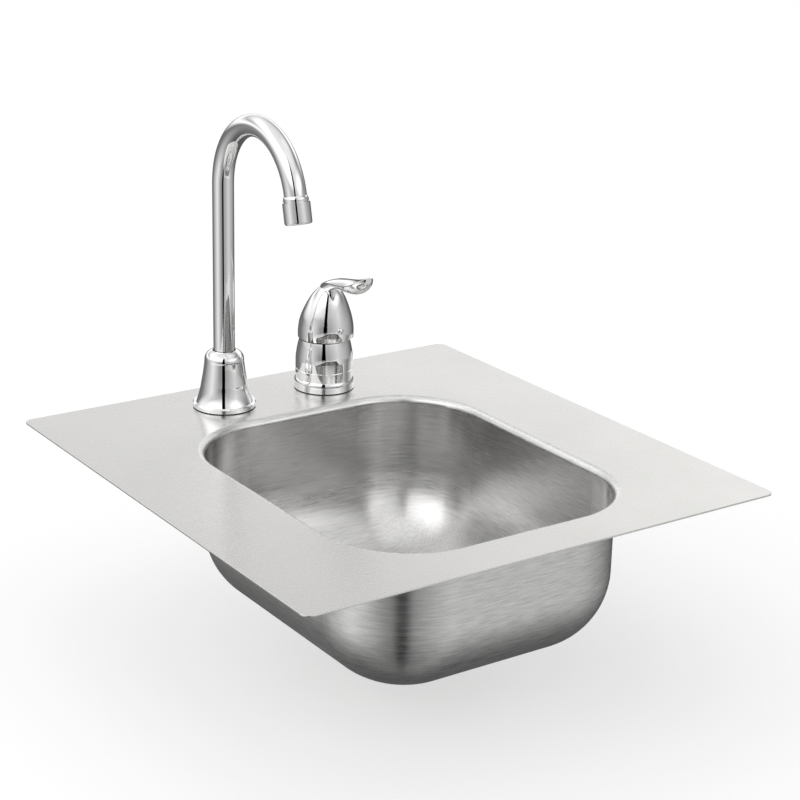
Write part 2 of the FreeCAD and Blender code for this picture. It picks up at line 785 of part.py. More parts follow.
def valve_sleeve():
    """Chrome barrel: a fine groove low down, then a long curve in to the handle."""
    bore = VALVE_BODY_R + FREE
    lip_r = CARTRIDGE_R + SLIP + FREE
    lip_top = VALVE_BODY_H + SLEEVE_LIP_T
    outline = (
        (bore, deck(VALVE_RING_H)),
        (BARREL_R, deck(VALVE_RING_H)),
        (BARREL_R, deck(GROOVE_H)),
        (BARREL_R - GROOVE_DEPTH, deck(GROOVE_H + GROOVE_W / 2)),
        (BARREL_R, deck(GROOVE_H + GROOVE_W)),
        (BARREL_R, deck(BARREL_BULGE_H)),
        ((BARREL_SHOULDER_R, deck(BARREL_SHOULDER_H)), (BARREL_TOP_R, deck(BARREL_TOP_H))),
        (bore, deck(BARREL_TOP_H)),
        (bore, deck(lip_top)),
        (lip_r, deck(lip_top)),
        (lip_r, deck(VALVE_BODY_H)),
        (bore, deck(VALVE_BODY_H)),
    )
    return turned(outline, VALVE_AT)


def port_at(degrees):
    """Axis of a port through the valve."""
    return on_circle(PORT_CIRCLE_R, degrees, VALVE_AT)


def valve_body():
    """Brass body: cartridge pocket, threaded shank, two threaded inlets and the mixed outlet."""
    foot = -SHANK_DROP
    body = cylinder(VALVE_BODY_R, deck(GASKET_T), deck(VALVE_BODY_H), VALVE_AT)
    body = body.fuse(cylinder(VALVE_SHANK_R, foot, deck(GASKET_T), VALVE_AT)).removeSplitter()
    body = body.cut(cylinder(CARTRIDGE_R + SLIP, deck(POCKET_FLOOR_H), deck(VALVE_BODY_H), VALVE_AT))
    for degrees in PORTS_DEG:
        mouth_r = CROSSOVER_R + FIT if degrees == MIXED_PORT_DEG else INLET_THREAD_R
        body = body.cut(cylinder(mouth_r, foot, foot + PORT_DEPTH, port_at(degrees)))
        body = body.cut(cylinder(PORT_R, foot, deck(POCKET_FLOOR_H), port_at(degrees)))
    return body


# Cartridge


def cartridge_base():
    """Foot of the cartridge, with a counterbore for the seal at each port."""
    floor = deck(POCKET_FLOOR_H)
    base = cylinder(CARTRIDGE_R, floor, deck(FIXED_DISC_H), VALVE_AT)
    for degrees in PORTS_DEG:
        base = base.cut(cylinder(PORT_R, floor, deck(FIXED_DISC_H), port_at(degrees)))
        base = base.cut(cylinder(PORT_R + SEAL_WIDTH + FIT, floor, floor + SEAL_T, port_at(degrees)))
    return base


def port_seals():
    """Rubber ring at each port."""
    floor = deck(POCKET_FLOOR_H)
    seals = []
    for degrees in PORTS_DEG:
        seals.append(ring(PORT_R + SEAL_WIDTH, PORT_R, floor, floor + SEAL_T, port_at(degrees)))
    return Part.makeCompound(seals)


def fixed_disc():
    """Lower ceramic disc with the three ports."""
    z0 = deck(FIXED_DISC_H)
    z1 = z0 + FIXED_DISC_T
    disc = cylinder(CARTRIDGE_BORE_R - SLIP, z0, z1, VALVE_AT)
    for degrees in PORTS_DEG:
        disc = disc.cut(cylinder(DISC_PORT_R, z0, z1, port_at(degrees)))
    return disc


def moving_disc():
    """Upper ceramic disc with the mixing hollow in its underside."""
    z0 = deck(MOVING_DISC_H)
    x, y = VALVE_AT
    hollow = (x, y + SPINDLE_BALL_R)
    disc = cylinder(MOVING_DISC_R, z0, z0 + MOVING_DISC_T, VALVE_AT)
    return disc.cut(cylinder(MIXING_R, z0, z0 + MIXING_DEPTH, hollow))


def disc_driver():
    """Cap on the moving disc with a well for the spindle's ball."""
    z0 = deck(DRIVER_H)
    z1 = z0 + DRIVER_T
    cap = cylinder(MOVING_DISC_R, z0, z1, VALVE_AT)
    return cap.cut(cylinder(SPINDLE_BALL_R + FREE, z0 + WELL_FLOOR_T, z1, VALVE_AT))


def cartridge_housing():
    """Shell of the cartridge, closed over the carrier by a lip."""
    lip_z = deck(CARTRIDGE_TOP_H - CARTRIDGE_LIP)
    outline = (
        (CARTRIDGE_BORE_R, deck(FIXED_DISC_H)),
        (CARTRIDGE_R, deck(FIXED_DISC_H)),
        (CARTRIDGE_R, deck(CARTRIDGE_TOP_H)),
        (CARRIER_NECK_R + FIT, deck(CARTRIDGE_TOP_H)),
        (CARRIER_NECK_R + FIT, lip_z),
        (CARTRIDGE_BORE_R, lip_z),
    )
    return turned(outline, VALVE_AT)


def carrier_slot():
    """Space that the spindle sweeps through the carrier, from closed to fully open."""
    x, y = VALVE_AT
    tilt = math.radians(TILT_DEG)
    half = SPINDLE_D / 2
    above = deck(CARRIER_TOP_H) + FREE
    below = deck(CARRIER_H) - FREE
    pivot = deck(PIVOT_H)
    hub = SPINDLE_HUB_R + FREE
    back_top = (above - pivot) * math.tan(tilt) + half / math.cos(tilt) + FREE
    front_low = SPINDLE_ARM * math.sin(tilt) + SPINDLE_BALL_R + FREE
    outline = (
        (-max(front_low, hub), below),
        (-hub, pivot),
        (-half - FREE, above),
        (back_top, above),
        (max(hub, half / math.cos(tilt) + FREE), pivot),
        (hub, below),
    )
    wide = SPINDLE_W / 2 + SLIP
    points = [vec(x - wide, y + dy, z) for dy, z in outline]
    return Part.Face(Part.makePolygon(points + [points[0]])).extrude(vec(2 * wide, 0, 0))


def pivot_rod(radius, length):
    """Rod along the lever's pivot."""
    x, y = VALVE_AT
    return Part.makeCylinder(radius, length, vec(x - length / 2, y, deck(PIVOT_H)), vec(1, 0, 0))


def cartridge_carrier():
    """Turns with the handle inside the housing and carries the pivot pin."""
    shoulder = deck(CARTRIDGE_TOP_H - CARTRIDGE_LIP) - SLIP
    body = cylinder(CARTRIDGE_BORE_R - FIT, deck(CARRIER_H), shoulder, VALVE_AT)
    neck = cylinder(CARRIER_NECK_R, deck(CARRIER_H), deck(CARRIER_TOP_H), VALVE_AT)
    carrier = body.fuse(neck).removeSplitter()
    return carrier.cut(carrier_slot()).cut(pivot_rod(PIVOT_R, 2 * CARTRIDGE_R))


def pivot_pin():
    """Pin that the spindle rocks on."""
    return pivot_rod(PIVOT_R, PIVOT_LENGTH)


def cartridge_spindle():
    """Flat bar up to the handle, a hub round the pivot and a ball end in the disc's driver."""
    x, y = VALVE_AT
    pivot = deck(PIVOT_H)
    half_w = SPINDLE_W / 2
    half_d = SPINDLE_D / 2
    bar = block(x - half_w, x + half_w, y - half_d, y + half_d, pivot, deck(SPINDLE_TOP_H))
    hub = pivot_rod(SPINDLE_HUB_R, SPINDLE_W)
    neck = cylinder(SPINDLE_NECK_R, pivot - SPINDLE_ARM, pivot, VALVE_AT)
    ball = Part.makeSphere(SPINDLE_BALL_R, vec(x, y, pivot - SPINDLE_ARM))
    return union([bar, hub, neck, ball]).cut(pivot_rod(PIVOT_R + FIT, SPINDLE_W))


def cartridge_nut():
    """Holds the cartridge in the pocket, and the barrel on the body, with two spanner notches."""
    flange_z = deck(VALVE_BODY_H + SLEEVE_LIP_T)
    top = flange_z + NUT_FLANGE_T
    bore = CARRIER_NECK_R + FREE
    outline = (
        (bore, deck(CARTRIDGE_TOP_H)),
        (CARTRIDGE_R, deck(CARTRIDGE_TOP_H)),
        (CARTRIDGE_R, flange_z),
        (VALVE_BODY_R, flange_z),
        (VALVE_BODY_R, top),
        (bore, top),
    )
    nut = turned(outline, VALVE_AT)
    x, y = VALVE_AT
    notch = CARTRIDGE_WALL
    slot = block(x - VALVE_BODY_R, x + VALVE_BODY_R, y - notch, y + notch, flange_z + NUT_FLANGE_T / 2, top)
    return nut.cut(slot)


# Handle


def dome(inset, count):
    """Loft through the first dome sections, drawn in by an inset."""
    x, y = VALVE_AT
    wires = []
    for h, forward, radius in DOME_SECTIONS[:count]:
        circle = Part.Circle(vec(x, y - forward, deck(h)), vec(0, 0, 1), radius - inset)
        wires.append(Part.Wire(circle.toShape()))
    return Part.makeLoft(wires, True, False)


def lever():
    """Loft through crowned sections from the dome's top to the upturned tip."""
    x, y = VALVE_AT
    wires = []
    for reach, crown_h, edge_h, low_h, width in LEVER_SECTIONS:
        side_y = y - reach
        half = width / 2
        top = deck(edge_h)
        edge = top - LEVER_EDGE
        left_top = vec(x - half, side_y, top)
        right_top = vec(x + half, side_y, top)
        left_low = vec(x - half, side_y, edge)
        right_low = vec(x + half, side_y, edge)
        crown = vec(x, side_y, deck(crown_h))
        belly = vec(x, side_y, deck(low_h))
        wires.append(Part.Wire([
            Part.Arc(left_top, crown, right_top).toShape(),
            Part.LineSegment(right_top, right_low).toShape(),
            Part.Arc(right_low, belly, left_low).toShape(),
            Part.LineSegment(left_low, left_top).toShape(),
        ]))
    return Part.makeLoft(wires, True, False)


def forward_rod(radius, reach0, reach1):
    """Rod towards the user at the set screw's height."""
    x, y = VALVE_AT
    return Part.makeCylinder(radius, reach1 - reach0, vec(x, y - reach0, deck(SCREW_H)), vec(0, -1, 0))


def lever_handle():
    """Dome that runs over its crown into the lever, hollow below, with a boss for the spindle."""
    x, y = VALVE_AT
    bottom = deck(DOME_SECTIONS[0][0])
    outside = dome(0, len(DOME_SECTIONS))
    hollow = dome(HANDLE_WALL, HANDLE_HOLLOW_COUNT)
    half_w = BOSS_W / 2
    half_d = BOSS_D / 2
    boss = block(x - half_w, x + half_w, y - half_d, y + half_d, deck(BOSS_BOTTOM_H), deck(BOSS_TOP_H))
    rib_h = SCREW_H - BOSS_BOTTOM_H
    rib = block(x - RIB_W / 2, x + RIB_W / 2, y - SCREW_FACE, y, deck(BOSS_BOTTOM_H), deck(SCREW_H + rib_h))
    boss = boss.fuse(rib).common(outside)
    handle = outside.cut(hollow).fuse(boss).fuse(lever())
    socket_w = SPINDLE_W / 2 + FIT
    socket_d = SPINDLE_D / 2 + FIT
    socket_top = deck(SPINDLE_TOP_H) + FREE
    socket = block(x - socket_w, x + socket_w, y - socket_d, y + socket_d, bottom, socket_top)
    handle = handle.cut(socket).cut(forward_rod(SCREW_R + FIT, 0, SCREW_FACE))
    return handle.cut(forward_rod(PLUG_R + FIT, SCREW_FACE - PLUG_SINK, SCREW_FACE + PLUG_R)).removeSplitter()


def set_screw():
    """Grub screw that grips the spindle."""
    tip = SPINDLE_D / 2 + FIT
    screw = forward_rod(SCREW_R, tip, tip + SCREW_LENGTH)
    return screw.cut(forward_rod(SCREW_SOCKET_R, tip + SCREW_LENGTH - SCREW_SOCKET_DEPTH, tip + SCREW_LENGTH))


def screw_plug():
    """Domed button over the set screw."""
    rim = PLUG_STEM + PLUG_SINK
    outline = (
        (0, 0),
        (SCREW_R, 0),
        (SCREW_R, PLUG_STEM),
        (PLUG_R, PLUG_STEM),
        (PLUG_R, rim),
        (cap_middle(PLUG_R, rim, rim + PLUG_CROWN), (0, rim + PLUG_CROWN)),
    )
    plug = turned(outline)
    x, y = VALVE_AT
    place = vec(x, y - (SCREW_FACE - PLUG_SINK - PLUG_STEM), deck(SCREW_H))
    plug.Placement = FreeCAD.Placement(place, FreeCAD.Rotation(vec(0, 0, 1), vec(0, -1, 0)))
    return plug


# Pipe from the valve to the spout


def crossover_rod(radius):
    """Rod from the valve's mixed port down, across and up to the spout's shank."""
    top = -SHANK_DROP + PORT_DEPTH - FREE
    low = -SHANK_DROP - CROSSOVER_DROP
    vx, vy = port_at(MIXED_PORT_DEG)
    sx, sy = SPOUT_AT
    corners = [vec(vx, vy, top), vec(vx, vy, low), vec(sx, sy, low), vec(sx, sy, top)]
    return rod_along(corners, CROSSOVER_BEND_R, radius)


def crossover_tube():
    """Copper pipe under the deck."""
    return crossover_rod(CROSSOVER_R).cut(crossover_rod(CROSSOVER_R - CROSSOVER_WALL))


def crossover_nuts():
    """Nut at each end of the pipe."""
    top = -SHANK_DROP
    low = top - CROSSOVER_NUT_H
    nuts = []
    for at in (port_at(MIXED_PORT_DEG), SPOUT_AT):
        nuts.append(hexagon(CROSSOVER_NUT_FLATS, low, top, at).cut(cylinder(CROSSOVER_R + FIT, low, top, at)))
    return Part.makeCompound(nuts)


# Drain


def cup_floor():
    """Ends of the strainer's dished floor inside: (radius, height) at the wall and at the outlet."""
    wall_r = STRAINER_CUP_R - STRAINER_WALL - STRAINER_SEAT_W
    low = CUP_FLOOR_Z + STRAINER_WALL
    return (wall_r, low + STRAINER_FLOOR_DROP), (OUTLET_R - OUTLET_WALL, low)


def basket_floor_z():
    """Underside of the basket, whose stopper just clears the dished floor."""
    (wall_r, wall_z), (outlet_r, outlet_z) = cup_floor()
    slope = (wall_z - outlet_z) / (wall_r - outlet_r)
    seat_z = outlet_z + slope * (STOPPER_R - STOPPER_LIP - outlet_r)
    return seat_z + FREE + STOPPER_T


def cap_middle(radius, base_z, top_z):
    """Point halfway along the arc from a round cap's rim to its top."""
    rise = top_z - base_z
    sphere_r = (radius * radius + rise * rise) / (2 * rise)
    half = math.asin(radius / sphere_r) / 2
    return (sphere_r * math.sin(half), top_z - sphere_r * (1 - math.cos(half)))


def strainer_body():
    """Flanged cup with a step for the basket, a dished floor and a threaded outlet."""
    inner_r = STRAINER_CUP_R - STRAINER_WALL
    flange_z = FLOOR_Z + STRAINER_FLANGE_T
    (seat_r, floor_in), (bore, sink_in) = cup_floor()
    outlet_z = CUP_FLOOR_Z - OUTLET_LENGTH
    outline = (
        (STRAINER_FLANGE_R, FLOOR_Z),
        (STRAINER_FLANGE_R - STRAINER_FLANGE_T, flange_z),
        (DRAIN_HOLE_R, flange_z),
        (inner_r, FLOOR_Z - STRAINER_FLANGE_T),
        (inner_r, BASKET_Z),
        (seat_r, BASKET_Z),
        (seat_r, floor_in),
        (bore, sink_in),
        (bore, outlet_z),
        (OUTLET_R, outlet_z),
        (OUTLET_R, CUP_FLOOR_Z),
        (STRAINER_CUP_R, CUP_FLOOR_Z + STRAINER_FLOOR_DROP),
        (STRAINER_CUP_R, FLOOR_Z),
    )
    return turned(outline, DRAIN_AT)


def strainer_gasket():
    """Rubber ring under the bowl's floor."""
    low = UNDER_FLOOR_Z - STRAINER_GASKET_T
    return ring(CLAMP_RING_R, STRAINER_CUP_R + FIT, low, UNDER_FLOOR_Z, DRAIN_AT)


def friction_washer():
    """Fibre ring that lets the locknut turn."""
    top = UNDER_FLOOR_Z - STRAINER_GASKET_T
    return ring(CLAMP_RING_R, STRAINER_CUP_R + FIT, top - FRICTION_WASHER_T, top, DRAIN_AT)


def strainer_locknut():
    """Ring nut with lugs round it."""
    top = UNDER_FLOOR_Z - STRAINER_GASKET_T - FRICTION_WASHER_T
    low = top - LOCKNUT_H
    x, y = DRAIN_AT
    nut = cylinder(LOCKNUT_R - LOCKNUT_LUG, low, top, DRAIN_AT)
    for index in range(LOCKNUT_LUGS):
        lug = block(x, x + LOCKNUT_R, y - LOCKNUT_LUG, y + LOCKNUT_LUG, low, top)
        lug.rotate(vec(x, y, 0), vec(0, 0, 1), 360 * index / LOCKNUT_LUGS)
        nut = nut.fuse(lug)
    return nut.removeSplitter().cut(cylinder(STRAINER_CUP_R + FIT, low, top, DRAIN_AT))


def strainer_basket():
    """Thin cup with a rim on the strainer's step and rings of holes in its floor."""
    low = basket_floor_z()
    rim_z = BASKET_Z + BASKET_GAUGE
    wall_in = BASKET_WALL_R - BASKET_GAUGE
    slope = math.cos(math.pi / 4)
    inner_r = BASKET_FLOOR_R - BASKET_GAUGE
    outline = (
        (0, low),
        (BASKET_WALL_R - BASKET_FLOOR_R, low),
        (
            (BASKET_WALL_R - BASKET_FLOOR_R * (1 - slope), low + BASKET_FLOOR_R * (1 - slope)),
            (BASKET_WALL_R, low + BASKET_FLOOR_R),
        ),
        (BASKET_WALL_R, BASKET_Z),
        (BASKET_R, BASKET_Z),
        (BASKET_R, rim_z),
        (wall_in, rim_z),
        (wall_in, low + BASKET_FLOOR_R),
        (
            (wall_in - inner_r * (1 - slope), low + BASKET_GAUGE + inner_r * (1 - slope)),
            (wall_in - inner_r, low + BASKET_GAUGE),
        ),
        (0, low + BASKET_GAUGE),
    )
    basket = turned(outline, DRAIN_AT)
    tools = [cylinder(POST_R + FIT, low, low + BASKET_GAUGE, DRAIN_AT)]
    for radius, count in zip(BASKET_HOLE_RADII, BASKET_HOLE_COUNTS):
        for index in range(count):
            place = on_circle(radius, 360 * index / count, DRAIN_AT)
            tools.append(cylinder(BASKET_HOLE_R, low, low + BASKET_GAUGE, place))
    return basket.cut(tools)


def basket_post():
    """Post with a knob to lift the basket by and a foot on its floor."""
    floor = basket_floor_z() + BASKET_GAUGE
    foot_z = basket_floor_z() - STOPPER_T
    knob_z = floor + POST_HEIGHT - KNOB_H
    knob_rim_z = knob_z + KNOB_RIM_H
    knob_top_z = knob_z + KNOB_H
    outline = (
        (0, foot_z),
        (POST_R, foot_z),
        (POST_R, floor),
        (POST_FOOT_R, floor),
        (POST_FOOT_R, floor + POST_FOOT_T),
        (POST_R, floor + POST_FOOT_T),
        (POST_R, knob_z),
        (KNOB_R, knob_rim_z),
        (cap_middle(KNOB_R, knob_rim_z, knob_top_z), (0, knob_top_z)),
    )
    return turned(outline, DRAIN_AT)


def basket_stopper():
    """Rubber disc under the basket with a thin sealing lip."""
    top = basket_floor_z()
    outline = (
        (POST_R + FIT, top),
        (STOPPER_R - STOPPER_LIP, top),
        (STOPPER_R, top - STOPPER_T / 2),
        (STOPPER_R - STOPPER_LIP, top - STOPPER_T),
        (POST_R + FIT, top - STOPPER_T),
    )
    return turned(outline, DRAIN_AT)


def all_pieces():
    """Every piece by name."""
    pieces = sink_shells()
    pieces.update(clip_rails())
    makers = (
        spout_tube, aerator_housing, aerator_insert, aerator_washer, spout_bell, bell_gasket, spout_shank,
        spout_thrust_washer, spout_circlip, spout_bushings, spout_o_rings, spout_gland_nut,
        valve_gasket, valve_base_ring, valve_sleeve, valve_body,
        cartridge_base, port_seals, fixed_disc, moving_disc, disc_driver, cartridge_housing,
        cartridge_carrier, pivot_pin, cartridge_spindle, cartridge_nut, lever_handle, set_screw, screw_plug,
        crossover_tube, crossover_nuts,
        strainer_body, strainer_gasket, friction_washer, strainer_locknut,
        strainer_basket, basket_post, basket_stopper,
    )
    for maker in makers:
        pieces[maker.__name__] = maker()
    for name, shank_r, at in (("spout", SPOUT_SHANK_R, SPOUT_AT), ("valve", VALVE_SHANK_R, VALVE_AT)):
        pieces[name + "_shank_washer"] = shank_washer(shank_r, at)
        pieces[name + "_shank_nut"] = shank_nut(shank_r, at)
    return pieces


os.makedirs("parts", exist_ok=True)
for node, shape in all_pieces().items():
    shape.exportStep("parts/" + node + ".step")
    print(node, "valid" if shape.isValid() else "NOT VALID", len(shape.Solids), round(shape.Volume, 1))
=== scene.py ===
"""Looks of the drop-in bar sink: its finishes, machined details, light tent, floor and camera."""

from __future__ import annotations

import json
import logging
import math
from dataclasses import dataclass
from enum import Enum

import bmesh
import bpy
from mathutils import Matrix, Vector

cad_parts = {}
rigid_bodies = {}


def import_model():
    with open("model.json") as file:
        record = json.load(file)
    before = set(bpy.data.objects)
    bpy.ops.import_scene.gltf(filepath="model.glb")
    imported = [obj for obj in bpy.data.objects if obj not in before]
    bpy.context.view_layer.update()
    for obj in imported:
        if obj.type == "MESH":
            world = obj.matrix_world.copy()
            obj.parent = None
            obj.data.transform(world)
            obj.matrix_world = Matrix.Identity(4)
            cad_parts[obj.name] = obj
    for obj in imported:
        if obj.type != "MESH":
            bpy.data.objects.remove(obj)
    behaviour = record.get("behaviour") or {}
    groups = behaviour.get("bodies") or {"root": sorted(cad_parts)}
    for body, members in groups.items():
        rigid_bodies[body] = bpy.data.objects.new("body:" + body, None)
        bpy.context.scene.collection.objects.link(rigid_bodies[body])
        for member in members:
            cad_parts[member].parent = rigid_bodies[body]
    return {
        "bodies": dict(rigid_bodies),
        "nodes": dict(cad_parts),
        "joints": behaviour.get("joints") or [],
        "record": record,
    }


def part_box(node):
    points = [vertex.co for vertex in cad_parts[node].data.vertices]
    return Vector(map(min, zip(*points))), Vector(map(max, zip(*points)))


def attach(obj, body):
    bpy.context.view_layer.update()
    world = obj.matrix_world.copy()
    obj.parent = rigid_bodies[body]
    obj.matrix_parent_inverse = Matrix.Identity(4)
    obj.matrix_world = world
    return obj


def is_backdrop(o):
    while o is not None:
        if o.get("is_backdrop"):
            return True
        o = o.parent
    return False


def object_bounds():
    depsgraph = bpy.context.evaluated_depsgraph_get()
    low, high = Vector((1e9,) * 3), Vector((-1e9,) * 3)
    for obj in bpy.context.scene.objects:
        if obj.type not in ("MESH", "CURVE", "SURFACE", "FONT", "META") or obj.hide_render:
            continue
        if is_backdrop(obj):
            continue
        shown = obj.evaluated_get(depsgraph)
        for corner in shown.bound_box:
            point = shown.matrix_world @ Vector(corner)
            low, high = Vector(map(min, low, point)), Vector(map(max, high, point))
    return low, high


LOG = logging.getLogger("bar_sink")
Colour = tuple[float, float, float]
Point = tuple[float, float, float]
Pair = tuple[float, float]
Socket = bpy.types.NodeSocket
MM = 0.001
MERGE_DISTANCE = 0.001 * MM
UPWARDS: Point = (0.0, 0.0, 1.0)
WHOLE: Pair = (0.0, 1.0)
NOISE_ENDS: Pair = (0.3, 0.7)
NOISE_ROUGHNESS = 0.6


class Grain(Enum):
    """Which way a brushed surface was rubbed."""

    ALONG_DECK = "along the deck's width"
    ROUND_BOWL = "round the bowl's walls"


class Sweep(Enum):
    """How a lathe left its marks."""

    ACROSS_AXIS = "rings round an upright axis"
    NONE = "no rings"


class NodeTree:
    """A node tree under construction."""

    def __init__(self, tree: bpy.types.NodeTree) -> None:
        """Start from an empty tree.

        Args:
            tree: The material's tree.
        """
        self.tree = tree
        self.tree.nodes.clear()

    def add(self, kind: str, **values: object) -> bpy.types.Node:
        """Add a node and set its input sockets.

        Args:
            kind: Blender's name of the node type.
            **values: Socket names, with underscores for spaces, and their constants.

        Returns:
            The new node.
        """
        node = self.tree.nodes.new(kind)
        for name, value in values.items():
            node.inputs[name.replace("_", " ")].default_value = value
        return node

    def join(self, source: Socket, target: Socket) -> None:
        """Link an output to an input."""
        self.tree.links.new(source, target)

    def object_points(self, scale: Point, turn: float = 0.0) -> Socket:
        """Object coordinates, stretched and turned about the upright axis.

        Args:
            scale: Factor along each axis.
            turn: Turn in radians.

        Returns:
            The vector output.
        """
        place = self.add("ShaderNodeTexCoord")
        mapping = self.add("ShaderNodeMapping", Scale=scale, Rotation=(0.0, 0.0, turn))
        self.join(place.outputs["Object"], mapping.inputs["Vector"])
        return mapping.outputs["Vector"]

    def even_points(self, scale: float = 1.0, turn: float = 0.0) -> Socket:
        """Object coordinates, scaled alike along each axis."""
        return self.object_points((scale, scale, scale), turn)

    def noise(self, points: Socket, detail: float = 3.0) -> Socket:
        """Noise from 0 to 1.

        Args:
            points: Vector to read it at.
            detail: Number of finer layers.

        Returns:
            The noise value.
        """
        node = self.add("ShaderNodeTexNoise", Scale=1.0, Detail=detail, Roughness=NOISE_ROUGHNESS)
        self.join(points, node.inputs["Vector"])
        return node.outputs["Fac"]

    def upward(self) -> Socket:
        """How far the surface faces up, from -1 to 1.

        Returns:
            The height of the surface's normal.
        """
        geometry = self.add("ShaderNodeNewGeometry")
        split = self.add("ShaderNodeSeparateXYZ")
        self.join(geometry.outputs["Normal"], split.inputs["Vector"])
        return split.outputs["Z"]

    def spread(self, value: Socket, low: float, high: float, ends: Pair = NOISE_ENDS) -> Socket:
        """Stretch a value onto a new range.

        Args:
            value: Input value.
            low: Result at the first end.
            high: Result at the second end.
            ends: Input values at the two ends.

        Returns:
            The new value.
        """
        node = self.add("ShaderNodeMapRange")
        node.inputs["From Min"].default_value = ends[0]
        node.inputs["From Max"].default_value = ends[1]
        node.inputs["To Min"].default_value = low
        node.inputs["To Max"].default_value = high
        self.join(value, node.inputs["Value"])
        return node.outputs["Result"]

    def mix(self, share: Socket, kind: str) -> bpy.types.Node:
        """Add a mixing node.

        Args:
            share: 0 for the first input, 1 for the second.
            kind: Blender's name of what is mixed.

        Returns:
            The node.
        """
        node = self.add("ShaderNodeMix")
        node.data_type = kind
        self.join(share, node.inputs["Factor"])
        return node

    def blend(self, share: Socket, first: Colour, second: Colour) -> Socket:
        """Colour between two by a share.

        Args:
            share: 0 for the first colour, 1 for the second.
            first: First colour.
            second: Second colour.

        Returns:
            The mixed colour.
        """
        node = self.mix(share, "RGBA")
        node.inputs["A"].default_value = (*first, 1.0)
        node.inputs["B"].default_value = (*second, 1.0)
        return node.outputs["Result"]

    def mixed(self, share: Socket, first: Socket, second: Socket, kind: str = "RGBA") -> Socket:
        """One socket blended into another.

        Args:
            share: 0 for the first socket, 1 for the second.
            first: First socket.
            second: Second socket.
            kind: Blender's name of what is mixed.

        Returns:
            The mixed colour or value.
        """
        node = self.mix(share, kind)
        self.join(first, node.inputs["A"])
        self.join(second, node.inputs["B"])
        return node.outputs["Result"]

    def sums(self, first: Socket, second: Socket, operation: str = "ADD") -> Socket:
        """Two values put together.

        Args:
            first: First value.
            second: Second value.
            operation: Blender's name of the sum.

        Returns:
            The result.
        """
        node = self.add("ShaderNodeMath")
        node.operation = operation
        self.join(first, node.inputs[0])
        self.join(second, node.inputs[1])
        return node.outputs["Value"]

    def bump(self, height: Socket, distance: float, strength: float = 1.0) -> Socket:
        """Normal disturbed by a height.

        Args:
            height: Height from 0 to 1.
            distance: Real height in metres.
            strength: Share of the effect.

        Returns:
            The normal.
        """
        node = self.add("ShaderNodeBump", Strength=strength, Distance=distance)
        self.join(height, node.inputs["Height"])
        return node.outputs["Normal"]


def shade(colour: Colour, factor: float) -> Colour:
    """A colour made lighter or darker."""
    return (colour[0] * factor, colour[1] * factor, colour[2] * factor)


@dataclass(frozen=True)
class Finish:
    """A surface finish, the base of all others. Heights are in millimetres."""

    name: str
    colour: Colour
    roughness: float

    def material(self) -> bpy.types.Material:
        """Build the material.

        Returns:
            A new material with this finish.
        """
        material = bpy.data.materials.new(self.name)
        material.use_nodes = True
        nodes = NodeTree(material.node_tree)
        shader = nodes.add("ShaderNodeBsdfPrincipled")
        output = nodes.add("ShaderNodeOutputMaterial")
        nodes.join(shader.outputs["BSDF"], output.inputs["Surface"])
        self.dress(nodes, shader)
        return material

    def coat(
        self, nodes: NodeTree, shader: bpy.types.Node, colour: Socket, rough: Socket, metal: float = 1.0
    ) -> None:
        """Join a colour and a roughness to the shader.

        Args:
            nodes: The material's tree.
            shader: Its Principled shader.
            colour: The colour.
            rough: The roughness.
            metal: 1 for metal, 0 for anything else.
        """
        shader.inputs["Metallic"].default_value = metal
        nodes.join(colour, shader.inputs["Base Color"])
        nodes.join(rough, shader.inputs["Roughness"])

    def dress(self, nodes: NodeTree, shader: bpy.types.Node) -> None:
        """Set the shader's sockets.

        Args:
            nodes: The material's tree.
            shader: Its Principled shader.
        """
        raise NotImplementedError


